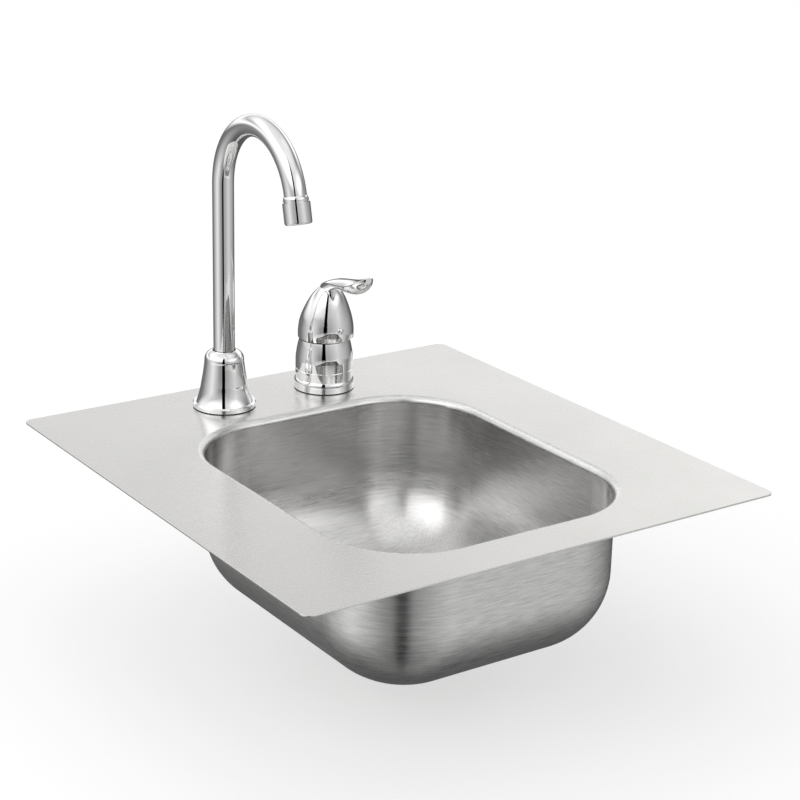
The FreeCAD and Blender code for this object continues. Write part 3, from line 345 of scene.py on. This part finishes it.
@dataclass(frozen=True)
class BrushedSteel(Finish):
    """Satin stainless sheet with the fine lines of its polishing belt, in millimetres."""

    grain: Grain = Grain.ALONG_DECK
    line_length: float = 14.0
    line_width: float = 0.5
    anisotropy: float = 0.5
    contrast: float = 0.05
    relief: float = 0.003
    broad_line: float = 2.5
    line_roughness: float = 0.04
    handling: float = 0.02
    handling_scale: float = 9.0
    tone_ends: Pair = (0.75, 1.25)
    polish_ends: Pair = (0.7, 1.3)
    floor_ends: Pair = (0.4, 0.7)
    quarter_turn: float = 0.25

    def lines(self, nodes: NodeTree, wider: float) -> Socket:
        """Streaks along the grain.

        Args:
            nodes: The material's tree.
            wider: Factor on the width of a line.

        Returns:
            Streak value from 0 to 1.
        """
        along = 1.0 / (self.line_length * MM)
        across = 1.0 / (self.line_width * wider * MM)
        on_floor = nodes.noise(nodes.object_points((along, across, across)))
        if self.grain is Grain.ALONG_DECK:
            return on_floor
        on_wall = nodes.noise(nodes.object_points((along, along, across)))
        return nodes.mixed(nodes.spread(nodes.upward(), *WHOLE, self.floor_ends), on_wall, on_floor, "FLOAT")

    def tone(self, nodes: NodeTree, streak: Socket, factor: float) -> Socket:
        """Colour that varies with the belt's lines.

        Args:
            nodes: The material's tree.
            streak: The lines, from 0 to 2.
            factor: How light it is beside the finish's own colour.

        Returns:
            The colour.
        """
        light = shade(self.colour, factor * (1.0 + self.contrast))
        dark = shade(self.colour, factor * (1.0 - self.contrast))
        return nodes.blend(nodes.spread(streak, *WHOLE, self.tone_ends), dark, light)

    def polish(self, nodes: NodeTree, streak: Socket) -> Socket:
        """Roughness that varies with the belt's lines and with handling.

        Args:
            nodes: The material's tree.
            streak: The lines, from 0 to 2.

        Returns:
            The roughness.
        """
        smooth, rough = self.roughness - self.line_roughness, self.roughness + self.line_roughness
        cloud = nodes.noise(nodes.even_points(self.handling_scale))
        return nodes.sums(
            nodes.spread(streak, smooth, rough, self.polish_ends),
            nodes.spread(cloud, -self.handling, self.handling),
        )

    def dress(self, nodes: NodeTree, shader: bpy.types.Node) -> None:
        """Set the shader's sockets.

        Args:
            nodes: The material's tree.
            shader: Its Principled shader.
        """
        fine = self.lines(nodes, 1.0)
        streak = nodes.sums(fine, self.lines(nodes, self.broad_line))
        self.coat(nodes, shader, self.tone(nodes, streak, 1.0), self.polish(nodes, streak))
        shader.inputs["Anisotropic"].default_value = self.anisotropy
        nodes.join(nodes.bump(fine, self.relief * MM), shader.inputs["Normal"])
        if self.grain is Grain.ROUND_BOWL:
            tangent = nodes.add("ShaderNodeTangent")
            tangent.direction_type = "RADIAL"
            tangent.axis = "Z"
            shader.inputs["Anisotropic Rotation"].default_value = self.quarter_turn
            nodes.join(tangent.outputs["Tangent"], shader.inputs["Tangent"])
        else:
            across = nodes.add("ShaderNodeCombineXYZ", X=0.0, Y=1.0, Z=0.0)
            nodes.join(across.outputs["Vector"], shader.inputs["Tangent"])


@dataclass(frozen=True)
class DrawnBowl(BrushedSteel):
    """Drawn sheet that is polished on its walls and left duller on its floor and outside, with painted light and
    shade in its colour: darker on the walls inside the bowl, lighter on its floor and outside.
    """

    centre: Point = (0.0, -28.5 * MM, -45.0 * MM)
    floor_roughness: float = 0.32
    outside_roughness: float = 0.3
    # painted light: factors that lighten the colour of the outside and of the floor above the walls' colour
    outside_painted_light_factor: float = 1.55
    floor_painted_light_factor: float = 1.6
    upturned_ends: Pair = (0.0, 0.3)

    def upturned(self, nodes: NodeTree) -> Socket:
        """Share that grows from 0 on a wall to 1 where the sheet faces up."""
        return nodes.spread(nodes.upward(), *WHOLE, self.upturned_ends)

    def outside(self, nodes: NodeTree) -> Socket:
        """Share that is 1 on the sheet's outer side, which faces away from the bowl's middle.

        Args:
            nodes: The material's tree.

        Returns:
            The share.
        """
        geometry = nodes.add("ShaderNodeNewGeometry")
        from_centre = nodes.add("ShaderNodeVectorMath")
        from_centre.operation = "SUBTRACT"
        from_centre.inputs[1].default_value = self.centre
        nodes.join(nodes.even_points(), from_centre.inputs[0])
        outward = nodes.add("ShaderNodeVectorMath")
        outward.operation = "DOT_PRODUCT"
        nodes.join(from_centre.outputs["Vector"], outward.inputs[0])
        nodes.join(geometry.outputs["Normal"], outward.inputs[1])
        return nodes.spread(outward.outputs["Value"], *WHOLE, (-MM, MM))

    def tone(self, nodes: NodeTree, streak: Socket, factor: float) -> Socket:
        """Colour by the side of the sheet, with painted shade on the walls inside and painted light on the floor
        and outside.

        Args:
            nodes: The material's tree.
            streak: The lines, from 0 to 2.
            factor: How light it is beside the finish's own colour.

        Returns:
            The colour.
        """
        # painted shade on the walls inside, painted light on the floor and outside
        walls = super().tone(nodes, streak, factor)
        floor = super().tone(nodes, streak, factor * self.floor_painted_light_factor)
        outside = super().tone(nodes, streak, factor * self.outside_painted_light_factor)
        return nodes.mixed(self.outside(nodes), nodes.mixed(self.upturned(nodes), walls, floor), outside)

    def polish(self, nodes: NodeTree, streak: Socket) -> Socket:
        """Roughness by the side of the sheet and by how far it faces up.

        Args:
            nodes: The material's tree.
            streak: The lines, from 0 to 2.

        Returns:
            The roughness.
        """
        outside = nodes.spread(self.outside(nodes), 0.0, self.outside_roughness - self.roughness, WHOLE)
        floor = nodes.spread(self.upturned(nodes), 0.0, self.floor_roughness - self.roughness, WHOLE)
        return nodes.sums(super().polish(nodes, streak), nodes.sums(outside, floor))


@dataclass(frozen=True)
class Plate(Finish):
    """Mirror plating with a trace of handling on it."""

    smear: float = 0.03
    smear_scale: Point = (60.0, 60.0, 35.0)
    smear_detail: float = 4.0
    smear_ends: Pair = (0.45, 0.75)
    speck_scale: float = 900.0
    speck_detail: float = 2.0
    speck_tone: float = 0.985

    def dress(self, nodes: NodeTree, shader: bpy.types.Node) -> None:
        """Set the shader's sockets.

        Args:
            nodes: The material's tree.
            shader: Its Principled shader.
        """
        cloud = nodes.noise(nodes.object_points(self.smear_scale), self.smear_detail)
        specks = nodes.noise(nodes.even_points(self.speck_scale), self.speck_detail)
        rough = nodes.spread(cloud, self.roughness, self.roughness + self.smear, self.smear_ends)
        colour = nodes.blend(nodes.spread(specks, *WHOLE), shade(self.colour, self.speck_tone), self.colour)
        self.coat(nodes, shader, colour, rough)


@dataclass(frozen=True)
class TurnedMetal(Finish):
    """Bare metal from a lathe or a draw bench, a little uneven in tone."""

    sweep: Sweep = Sweep.ACROSS_AXIS
    tarnish: float = 0.18
    tarnish_scale: float = 70.0
    tarnish_detail: float = 5.0
    dulled: float = 0.08
    rubbed: float = 0.04
    ring_scale: Point = (20.0, 20.0, 2500.0)
    ring_height: float = 0.02
    ring_strength: float = 0.5

    def dress(self, nodes: NodeTree, shader: bpy.types.Node) -> None:
        """Set the shader's sockets.

        Args:
            nodes: The material's tree.
            shader: Its Principled shader.
        """
        cloud = nodes.noise(nodes.even_points(self.tarnish_scale), self.tarnish_detail)
        colour = nodes.blend(nodes.spread(cloud, *WHOLE), shade(self.colour, 1.0 - self.tarnish), self.colour)
        rough = nodes.spread(cloud, self.roughness + self.dulled, self.roughness - self.rubbed)
        self.coat(nodes, shader, colour, rough)
        if self.sweep is Sweep.ACROSS_AXIS:
            rings = nodes.noise(nodes.object_points(self.ring_scale))
            nodes.join(nodes.bump(rings, self.ring_height * MM, self.ring_strength), shader.inputs["Normal"])


@dataclass(frozen=True)
class CastMetal(Finish):
    """Die casting or zinc coat, with a grainy, spangled skin."""

    spangle: float = 220.0
    dark_tone: float = 0.86
    light_tone: float = 1.06
    smoother: float = 0.06
    rougher: float = 0.08
    skin_scale: float = 1400.0
    skin_height: float = 0.03
    skin_strength: float = 0.6

    def dress(self, nodes: NodeTree, shader: bpy.types.Node) -> None:
        """Set the shader's sockets.

        Args:
            nodes: The material's tree.
            shader: Its Principled shader.
        """
        cells = nodes.add("ShaderNodeTexVoronoi", Scale=self.spangle)
        nodes.join(nodes.even_points(), cells.inputs["Vector"])
        split = nodes.add("ShaderNodeSeparateXYZ")
        nodes.join(cells.outputs["Color"], split.inputs["Vector"])
        tone = split.outputs["X"]
        skin = nodes.noise(nodes.even_points(self.skin_scale))
        colour = nodes.blend(tone, shade(self.colour, self.dark_tone), shade(self.colour, self.light_tone))
        rough = nodes.spread(tone, self.roughness - self.smoother, self.roughness + self.rougher, WHOLE)
        self.coat(nodes, shader, colour, rough)
        nodes.join(nodes.bump(skin, self.skin_height * MM, self.skin_strength), shader.inputs["Normal"])


@dataclass(frozen=True)
class Moulded(Finish):
    """Rubber, plastic, ceramic or pressed fibre: one tone with a fine skin."""

    mottle: float = 0.08
    skin_scale: float = 1500.0
    skin_height: float = 0.02
    skin_strength: float = 0.5
    cloud_scale: float = 130.0
    cloud_roughness: float = 0.05
    tone_ends: Pair = (0.15, 0.4)

    def dress(self, nodes: NodeTree, shader: bpy.types.Node) -> None:
        """Set the shader's sockets.

        Args:
            nodes: The material's tree.
            shader: Its Principled shader.
        """
        skin = nodes.noise(nodes.even_points(self.skin_scale))
        cloud = nodes.noise(nodes.even_points(self.cloud_scale))
        tone = nodes.sums(skin, cloud, "MULTIPLY")
        colour = nodes.blend(
            nodes.spread(tone, *WHOLE, self.tone_ends),
            shade(self.colour, 1.0 - self.mottle),
            shade(self.colour, 1.0 + self.mottle),
        )
        rough = nodes.spread(cloud, self.roughness - self.cloud_roughness, self.roughness + self.cloud_roughness)
        self.coat(nodes, shader, colour, rough, 0.0)
        nodes.join(nodes.bump(skin, self.skin_height * MM, self.skin_strength), shader.inputs["Normal"])


DECK_STEEL = BrushedSteel("deck_brushed_steel", (0.735, 0.728, 0.71), 0.27, anisotropy=0.6, contrast=0.035)
# painted shade: the bowl's walls inside take this colour, darker than the deck's steel
BOWL_STEEL = DrawnBowl(
    "bowl_brushed_steel", (0.51, 0.507, 0.502), 0.24, Grain.ROUND_BOWL,
    line_length=18.0, line_width=0.7, contrast=0.16, relief=0.001,
)
POLISHED_STEEL = TurnedMetal("polished_drain_steel", (0.7, 0.7, 0.69), 0.16, tarnish=0.06)
CHROME = Plate("mirror_chrome", (0.9, 0.9, 0.905), 0.025)
BRASS = TurnedMetal("turned_brass", (0.78, 0.58, 0.29), 0.24)
COPPER = TurnedMetal("drawn_copper", (0.82, 0.45, 0.31), 0.26, Sweep.NONE, tarnish=0.3)
GROUND_STEEL = TurnedMetal("ground_steel", (0.56, 0.56, 0.57), 0.28)
RAIL_STEEL = CastMetal("galvanised_rail", (0.62, 0.63, 0.64), 0.38, spangle=160.0)
WELD_STEEL = CastMetal("weld_steel", (0.4, 0.39, 0.38), 0.45, spangle=300.0)
ZINC = CastMetal("die_cast_zinc", (0.6, 0.61, 0.62), 0.42, spangle=500.0)
RUBBER = Moulded("black_rubber", (0.022, 0.022, 0.023), 0.62)
WHITE_PLASTIC = Moulded("white_acetal", (0.8, 0.8, 0.77), 0.42, mottle=0.03)
GREY_PLASTIC = Moulded("grey_nylon", (0.32, 0.33, 0.35), 0.5, mottle=0.05)
CERAMIC = Moulded("lapped_ceramic", (0.86, 0.84, 0.8), 0.2, mottle=0.02, skin_scale=3000.0, skin_height=0.004)
FIBRE = Moulded("pressed_fibre", (0.5, 0.37, 0.24), 0.8, mottle=0.22, skin_scale=700.0, skin_height=0.06)

SLOT_FINISHES: dict[str, Finish] = {
    "stainless": DECK_STEEL,
    "polished_steel": POLISHED_STEEL,
    "rail_steel": RAIL_STEEL,
    "chrome": CHROME,
    "brass": BRASS,
    "copper": COPPER,
    "tool_steel": GROUND_STEEL,
    "zinc": ZINC,
    "rubber": RUBBER,
    "white_plastic": WHITE_PLASTIC,
    "grey_plastic": GREY_PLASTIC,
    "ceramic": CERAMIC,
    "fibre": FIBRE,
}
NODE_FINISHES: dict[str, Finish] = {"sink_bowl": BOWL_STEEL}


class Wardrobe:
    """Materials by finish, each made once."""

    def __init__(self) -> None:
        """Start with none made."""
        self.made: dict[str, bpy.types.Material] = {}

    def material(self, finish: Finish) -> bpy.types.Material:
        """The material of a finish.

        Args:
            finish: The finish wanted.

        Returns:
            Its material.
        """
        if finish.name not in self.made:
            self.made[finish.name] = finish.material()
        return self.made[finish.name]

    def wear(self, piece: bpy.types.Object, finish: Finish) -> None:
        """Put a finish on a piece.

        Args:
            piece: A CAD node or a new piece.
            finish: Its finish.
        """
        material = self.material(finish)
        if not piece.material_slots:
            piece.data.materials.append(material)
        for slot in piece.material_slots:
            slot.material = material


@dataclass
class CadPieces:
    """The solids that keep their own shape and only need a finish."""

    frame: dict

    def dress(self, wardrobe: Wardrobe) -> None:
        """Give each node the finish of its slot.

        Args:
            wardrobe: Source of materials.
        """
        slots = {row["node"]: row["material_slot"] for row in self.frame["record"]["subparts"]}
        for name, node in self.frame["nodes"].items():
            finish = NODE_FINISHES.get(name, SLOT_FINISHES[slots[name]])
            wardrobe.wear(node, finish)
            LOG.info("%s wears %s", name, finish.name)


def new_piece(name: str, mesh: bmesh.types.BMesh, body: str) -> bpy.types.Object:
    """Turn a finished bmesh into a piece that rides on a body.

    Args:
        name: Name of the piece.
        mesh: Its mesh, in the part's frame.
        body: Body that it moves with.

    Returns:
        The new object.
    """
    data = bpy.data.meshes.new(name)
    mesh.to_mesh(data)
    mesh.free()
    data.shade_smooth()
    piece = bpy.data.objects.new(name, data)
    bpy.context.scene.collection.objects.link(piece)
    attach(piece, body)
    return piece


@dataclass
class Thread:
    """A screw thread wound on a shank, in metres."""

    name: str
    centre: Pair
    radius: float
    bottom: float
    top: float
    slot: str
    finish: Finish
    pitch: float = 1.8 * MM
    depth: float = 0.55 * MM
    root: float = 0.15 * MM
    steps: int = 40
    flanks: tuple[float, float, float, float] = (0.08, 0.46, 0.58, 0.96)

    def outline(self) -> tuple[Pair, ...]:
        """Section of the ridge.

        Returns:
            Radius and height of its foot, its crest's two edges and its foot again.
        """
        inner, outer = self.radius - self.root, self.radius + self.depth
        return tuple((r, share * self.pitch) for r, share in zip((inner, outer, outer, inner), self.flanks))

    def build(self, wardrobe: Wardrobe) -> bpy.types.Object:
        """Wind a ridge up the shank.

        Args:
            wardrobe: Source of materials.

        Returns:
            The thread.
        """
        turns = max(1, round((self.top - self.bottom) / self.pitch) - 1)
        x, y = self.centre
        mesh = bmesh.new()
        mesh.faces.new([mesh.verts.new((x + r, y, self.bottom + z)) for r, z in self.outline()])
        bmesh.ops.spin(
            mesh,
            geom=mesh.verts[:] + mesh.edges[:] + mesh.faces[:],
            cent=(x, y, 0.0),
            axis=UPWARDS,
            dvec=(0.0, 0.0, self.pitch / self.steps),
            angle=math.tau * turns,
            steps=self.steps * turns,
        )
        bmesh.ops.remove_doubles(mesh, verts=mesh.verts[:], dist=MERGE_DISTANCE)
        open_edges = [edge for edge in mesh.edges if edge.is_boundary]
        if open_edges:
            bmesh.ops.holes_fill(mesh, edges=open_edges, sides=0)
        bmesh.ops.recalc_face_normals(mesh, faces=mesh.faces[:])
        piece = new_piece(self.name, mesh, "sink")
        wardrobe.wear(piece, self.finish)
        return piece


@dataclass
class Threads:
    """The threads under the deck and on the drain, in metres."""

    shank_foot: float = -47.6 * MM
    spout_radius: float = 14.0 * MM
    valve_radius: float = 16.5 * MM
    drain_pitch: float = 2.2 * MM
    drain_depth: float = 0.6 * MM
    outlet_radius: float = 23.8 * MM
    outlet_span: Pair = (0.4 * MM, 13.0 * MM)
    cup_radius: float = 43.5 * MM
    cup_foot: float = 18.4 * MM
    cup_steps: int = 72

    def axis(self, node: str) -> Pair:
        """Middle of a node, seen from above."""
        low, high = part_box(node)
        return (low.x + high.x) / 2, (low.y + high.y) / 2

    def shanks(self) -> list[Thread]:
        """The threads below the two taps' nuts.

        Returns:
            One thread for each tap.
        """
        threads = []
        for tap, radius in (("spout", self.spout_radius), ("valve", self.valve_radius)):
            nut = tap + "_shank_nut"
            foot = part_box(nut)[0].z
            threads.append(
                Thread(tap + "_shank_thread", self.axis(nut), radius, self.shank_foot, foot, "brass", BRASS)
            )
        return threads

    def drain(self) -> list[Thread]:
        """The threads on the drain's outlet and on its cup.

        Returns:
            The two threads.
        """
        centre = self.axis("strainer_body")
        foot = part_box("strainer_body")[0].z
        nut_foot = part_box("strainer_locknut")[0].z
        bottom, top = self.outlet_span
        steel = ("polished_steel", POLISHED_STEEL, self.drain_pitch, self.drain_depth)
        return [
            Thread("outlet_thread", centre, self.outlet_radius, foot + bottom, foot + top, *steel),
            Thread(
                "cup_thread", centre, self.cup_radius, foot + self.cup_foot, nut_foot, *steel, steps=self.cup_steps
            ),
        ]

    def build(self, wardrobe: Wardrobe) -> list[bpy.types.Object]:
        """Wind each thread where its solid is.

        Args:
            wardrobe: Source of materials.

        Returns:
            The threads.
        """
        return [thread.build(wardrobe) for thread in self.shanks() + self.drain()]


@dataclass
class RailWelds:
    """Spot welds in the clip rails, each a shallow crater with a raised rim, in metres."""

    rails: tuple[str, ...] = ("front", "back", "left", "right")
    gauge: float = 1.0 * MM
    spacing: float = 45.0 * MM
    end_gap: float = 15.0 * MM
    steps: int = 20
    outline: tuple[Pair, ...] = (
        (0.0, -0.05 * MM),
        (1.3 * MM, -0.06 * MM),
        (1.8 * MM, -0.24 * MM),
        (2.3 * MM, -0.2 * MM),
        (2.7 * MM, 0.1 * MM),
    )

    def crater(self, mesh: bmesh.types.BMesh, place: Vector) -> None:
        """Turn one weld about its axis.

        Args:
            mesh: The rail's welds.
            place: Middle of the weld on the rail's web.
        """
        points = [mesh.verts.new((place.x + radius, place.y, place.z + drop)) for radius, drop in self.outline]
        edges = [mesh.edges.new(pair) for pair in zip(points, points[1:])]
        bmesh.ops.spin(
            mesh,
            geom=points + edges,
            cent=place,
            axis=UPWARDS,
            angle=math.tau,
            steps=self.steps,
            use_merge=True,
        )

    def row(self, side: str) -> bpy.types.Object:
        """Set one rail's welds along its middle.

        Args:
            side: Which rail.

        Returns:
            The welds.
        """
        low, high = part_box(side + "_clip_rail")
        middle = (low + high) / 2
        along = Vector((1.0, 0.0, 0.0)) if high.x - low.x > high.y - low.y else Vector((0.0, 1.0, 0.0))
        length = (high - low).dot(along) - 2 * self.end_gap
        count = max(2, round(length / self.spacing) + 1)
        mesh = bmesh.new()
        for index in range(count):
            place = middle + along * length * (index / (count - 1) - 0.5)
            place.z = high.z - self.gauge
            self.crater(mesh, place)
        bmesh.ops.remove_doubles(mesh, verts=mesh.verts[:], dist=MERGE_DISTANCE)
        bmesh.ops.recalc_face_normals(mesh, faces=mesh.faces[:])
        return new_piece(side + "_rail_welds", mesh, "sink")

    def build(self, wardrobe: Wardrobe) -> list[bpy.types.Object]:
        """Weld each rail to the deck.

        Args:
            wardrobe: Source of materials.

        Returns:
            The welds of every rail.
        """
        pieces = [self.row(side) for side in self.rails]
        for piece in pieces:
            wardrobe.wear(piece, WELD_STEEL)
        return pieces


FULL_TURN = 360.0
TENT_ANGLES = (-180.0, -120.0, -60.0, -20.0, 20.0, 60.0, 110.0, 150.0, 180.0)
SLIT_PLACE = TENT_ANGLES.index(20.0)
SLIT_FADE = 1.0


@dataclass(frozen=True)
class Band:
    """A height range of the tent's cloth, its brightness all round and half the slit for the lens, in degrees.

    The levels stand at TENT_ANGLES, counted from the camera to the right, and the first one closes the circle.
    """

    fade_from: float
    fade_to: float
    slit: float
    levels: tuple[float, ...]

    def heights(self) -> Pair:
        """Heights on a unit sphere between which the band takes over from the one below."""
        return math.sin(math.radians(self.fade_from)), math.sin(math.radians(self.fade_to))

    def stops(self) -> list[Pair]:
        """Brightness all round, black between the slit's edges.

        Returns:
            Angle and level of each stop, in order.
        """
        stops = list(zip(TENT_ANGLES, self.levels + self.levels[:1]))
        if self.slit:
            edge = self.slit + SLIT_FADE
            left, right = self.levels[SLIT_PLACE - 1], self.levels[SLIT_PLACE]
            stops[SLIT_PLACE:SLIT_PLACE] = [(-edge, left), (-self.slit, 0.0), (self.slit, 0.0), (edge, right)]
        return stops


# From below: the dim pit, the soft boxes at both sides, the bright wall behind, the soft boxes' upper halves, the
# lit cloth at the left and the roof
TENT_BANDS = (
    Band(-90.0, -90.0, 8.0, (0.1, 0.1, 0.2, 0.2, 0.2, 0.3, 0.1, 0.1)),
    Band(-60.0, -25.0, 8.0, (0.1, 0.2, 0.9, 0.3, 0.4, 0.7, 0.4, 0.1)),
    Band(0.0, 12.0, 6.5, (1.4, 1.3, 0.7, 0.5, 0.5, 0.8, 0.2, 0.6)),
    Band(12.0, 24.0, 6.5, (0.9, 0.4, 1.8, 1.3, 0.8, 1.8, 0.2, 1.9)),
    Band(24.0, 42.0, 6.5, (0.5, 1.6, 2.0, 1.6, 0.8, 0.9, 0.2, 0.3)),
    Band(42.0, 65.0, 0.0, (0.8, 0.9, 0.9, 0.9, 1.0, 0.9, 1.0, 0.8)),
)


@dataclass
class Studio:
    """Light tent, floor and camera, in degrees and metres, with the lens and its sensor in millimetres."""

    azimuth: float = -34.69
    elevation: float = 19.10
    roll: float = 1.35
    distance: float = 1.7549
    target: Point = (0.0876, 0.1078, 0.0012)
    lens: float = 90.03
    sensor: float = 36.0
    sight: float = 100.0
    tent_radius: float = 6.0
    tent_segments: int = 64
    tent_rings: int = 32
    floor_radius: float = 5.5
    floor_segments: int = 96
    floor_gap: float = 0.5 * MM
    floor_white: float = 0.5
    floor_glow: float = 0.56

    def backwards(self) -> Vector:
        """Direction from the target to the camera.

        Returns:
            A vector of length 1.
        """
        around = math.radians(self.azimuth)
        up = math.radians(self.elevation)
        return Vector((math.sin(around) * math.cos(up), -math.cos(around) * math.cos(up), math.sin(up)))

    def camera(self) -> bpy.types.Object:
        """Camera at the photograph's viewing angle.

        Returns:
            The camera.
        """
        back = self.backwards()
        right = (-back).cross(Vector(UPWARDS)).normalized()
        up = right.cross(-back)
        turn = math.radians(self.roll)
        right, up = math.cos(turn) * right + math.sin(turn) * up, math.cos(turn) * up - math.sin(turn) * right
        place = Vector(self.target) + back * self.distance
        data = bpy.data.cameras.new("camera")
        data.lens = self.lens
        data.sensor_width = self.sensor
        data.sensor_fit = "HORIZONTAL"
        data.clip_end = self.sight
        camera = bpy.data.objects.new("camera", data)
        camera.matrix_world = Matrix.Translation(place) @ Matrix((right, up, back)).transposed().to_4x4()
        bpy.context.scene.collection.objects.link(camera)
        bpy.context.scene.camera = camera
        return camera

    def ramp(self, nodes: NodeTree, band: Band) -> bpy.types.Node:
        """Colour ramp with a band's stops.

        Args:
            nodes: The cloth's tree.
            band: The band.

        Returns:
            The ramp's node.
        """
        ramp = nodes.add("ShaderNodeValToRGB")
        stops = ramp.color_ramp.elements
        wanted = band.stops()
        while len(stops) < len(wanted):
            stops.new(0.5)
        for stop, (angle, level) in zip(stops, wanted):
            stop.position = angle / FULL_TURN + 0.5
            stop.color = (level, level, level, 1.0)
        return ramp

    def tent_material(self) -> bpy.types.Material:
        """Glowing cloth, brighter in front of the soft boxes and black at the slit.

        Returns:
            The cloth's material.
        """
        material = bpy.data.materials.new("tent_cloth")
        material.use_nodes = True
        nodes = NodeTree(material.node_tree)
        facing = math.radians(90.0 - self.azimuth)
        around = nodes.add("ShaderNodeTexGradient")
        around.gradient_type = "RADIAL"
        nodes.join(nodes.even_points(1.0, facing), around.inputs["Vector"])
        height = nodes.add("ShaderNodeSeparateXYZ")
        nodes.join(nodes.even_points(1.0 / self.tent_radius), height.inputs["Vector"])
        cloth = None
        for band in TENT_BANDS:
            ramp = self.ramp(nodes, band)
            nodes.join(around.outputs["Fac"], ramp.inputs["Fac"])
            if cloth is None:
                cloth = ramp.outputs["Color"]
                continue
            share = nodes.spread(height.outputs["Z"], *WHOLE, band.heights())
            cloth = nodes.mixed(share, cloth, ramp.outputs["Color"])
        glow = nodes.add("ShaderNodeEmission")
        nodes.join(cloth, glow.inputs["Color"])
        output = nodes.add("ShaderNodeOutputMaterial")
        nodes.join(glow.outputs["Emission"], output.inputs["Surface"])
        return material

    def floor_material(self) -> bpy.types.Material:
        """Matt white paint that glows a little.

        Returns:
            The floor's material.
        """
        material = bpy.data.materials.new("pale_floor")
        material.use_nodes = True
        nodes = NodeTree(material.node_tree)
        white = self.floor_white
        paint = nodes.add(
            "ShaderNodeBsdfPrincipled",
            Base_Color=(white, white, white, 1.0),
            Roughness=1.0,
            Specular_IOR_Level=0.0,
            Emission_Color=(1.0, 1.0, 1.0, 1.0),
            Emission_Strength=self.floor_glow,
        )
        output = nodes.add("ShaderNodeOutputMaterial")
        nodes.join(paint.outputs["BSDF"], output.inputs["Surface"])
        return material

    def stage(self, name: str, mesh: bmesh.types.BMesh, material: bpy.types.Material) -> bpy.types.Object:
        """Turn a bmesh into a piece of the studio.

        Args:
            name: Its name.
            mesh: Its mesh.
            material: Its material.

        Returns:
            The new object.
        """
        data = bpy.data.meshes.new(name)
        mesh.to_mesh(data)
        mesh.free()
        data.materials.append(material)
        piece = bpy.data.objects.new(name, data)
        bpy.context.scene.collection.objects.link(piece)
        piece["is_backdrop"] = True
        return piece

    def tent(self) -> bpy.types.Object:
        """Light tent round the sink, which the camera looks through.

        Returns:
            The tent.
        """
        mesh = bmesh.new()
        bmesh.ops.create_uvsphere(
            mesh, u_segments=self.tent_segments, v_segments=self.tent_rings, radius=self.tent_radius
        )
        bmesh.ops.reverse_faces(mesh, faces=mesh.faces[:])
        tent = self.stage("light_tent", mesh, self.tent_material())
        tent.visible_camera = False
        return tent

    def floor(self, lowest: float) -> bpy.types.Object:
        """Pale round floor just under the part, which the metal doesn't mirror.

        Args:
            lowest: Height of the part's lowest point.

        Returns:
            The floor.
        """
        mesh = bmesh.new()
        bmesh.ops.create_circle(mesh, cap_ends=True, segments=self.floor_segments, radius=self.floor_radius)
        bmesh.ops.translate(mesh, verts=mesh.verts[:], vec=(0.0, 0.0, lowest - self.floor_gap))
        floor = self.stage("floor", mesh, self.floor_material())
        floor.visible_glossy = False
        return floor

    def build(self, lowest: float) -> None:
        """Set up light, floor and camera.

        Args:
            lowest: Height of the part's lowest point.
        """
        world = bpy.data.worlds.new("white_room")
        world.use_nodes = True
        world.node_tree.nodes["Background"].inputs["Color"].default_value = (1.0, 1.0, 1.0, 1.0)
        bpy.context.scene.world = world
        bpy.context.scene.view_settings.view_transform = "Standard"
        for stage in (self.camera(), self.tent(), self.floor(lowest)):
            LOG.info("studio has %s", stage.name)


def main() -> None:
    """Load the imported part, dress it and set up the studio."""
    logging.basicConfig(level=logging.INFO, format="%(name)s: %(message)s")
    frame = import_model()
    cad_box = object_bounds()
    wardrobe = Wardrobe()
    CadPieces(frame).dress(wardrobe)
    for piece in Threads().build(wardrobe) + RailWelds().build(wardrobe):
        LOG.info("made %s", piece.name)
    Studio().build(cad_box[0][2])


if __name__ == "__main__":
    main()
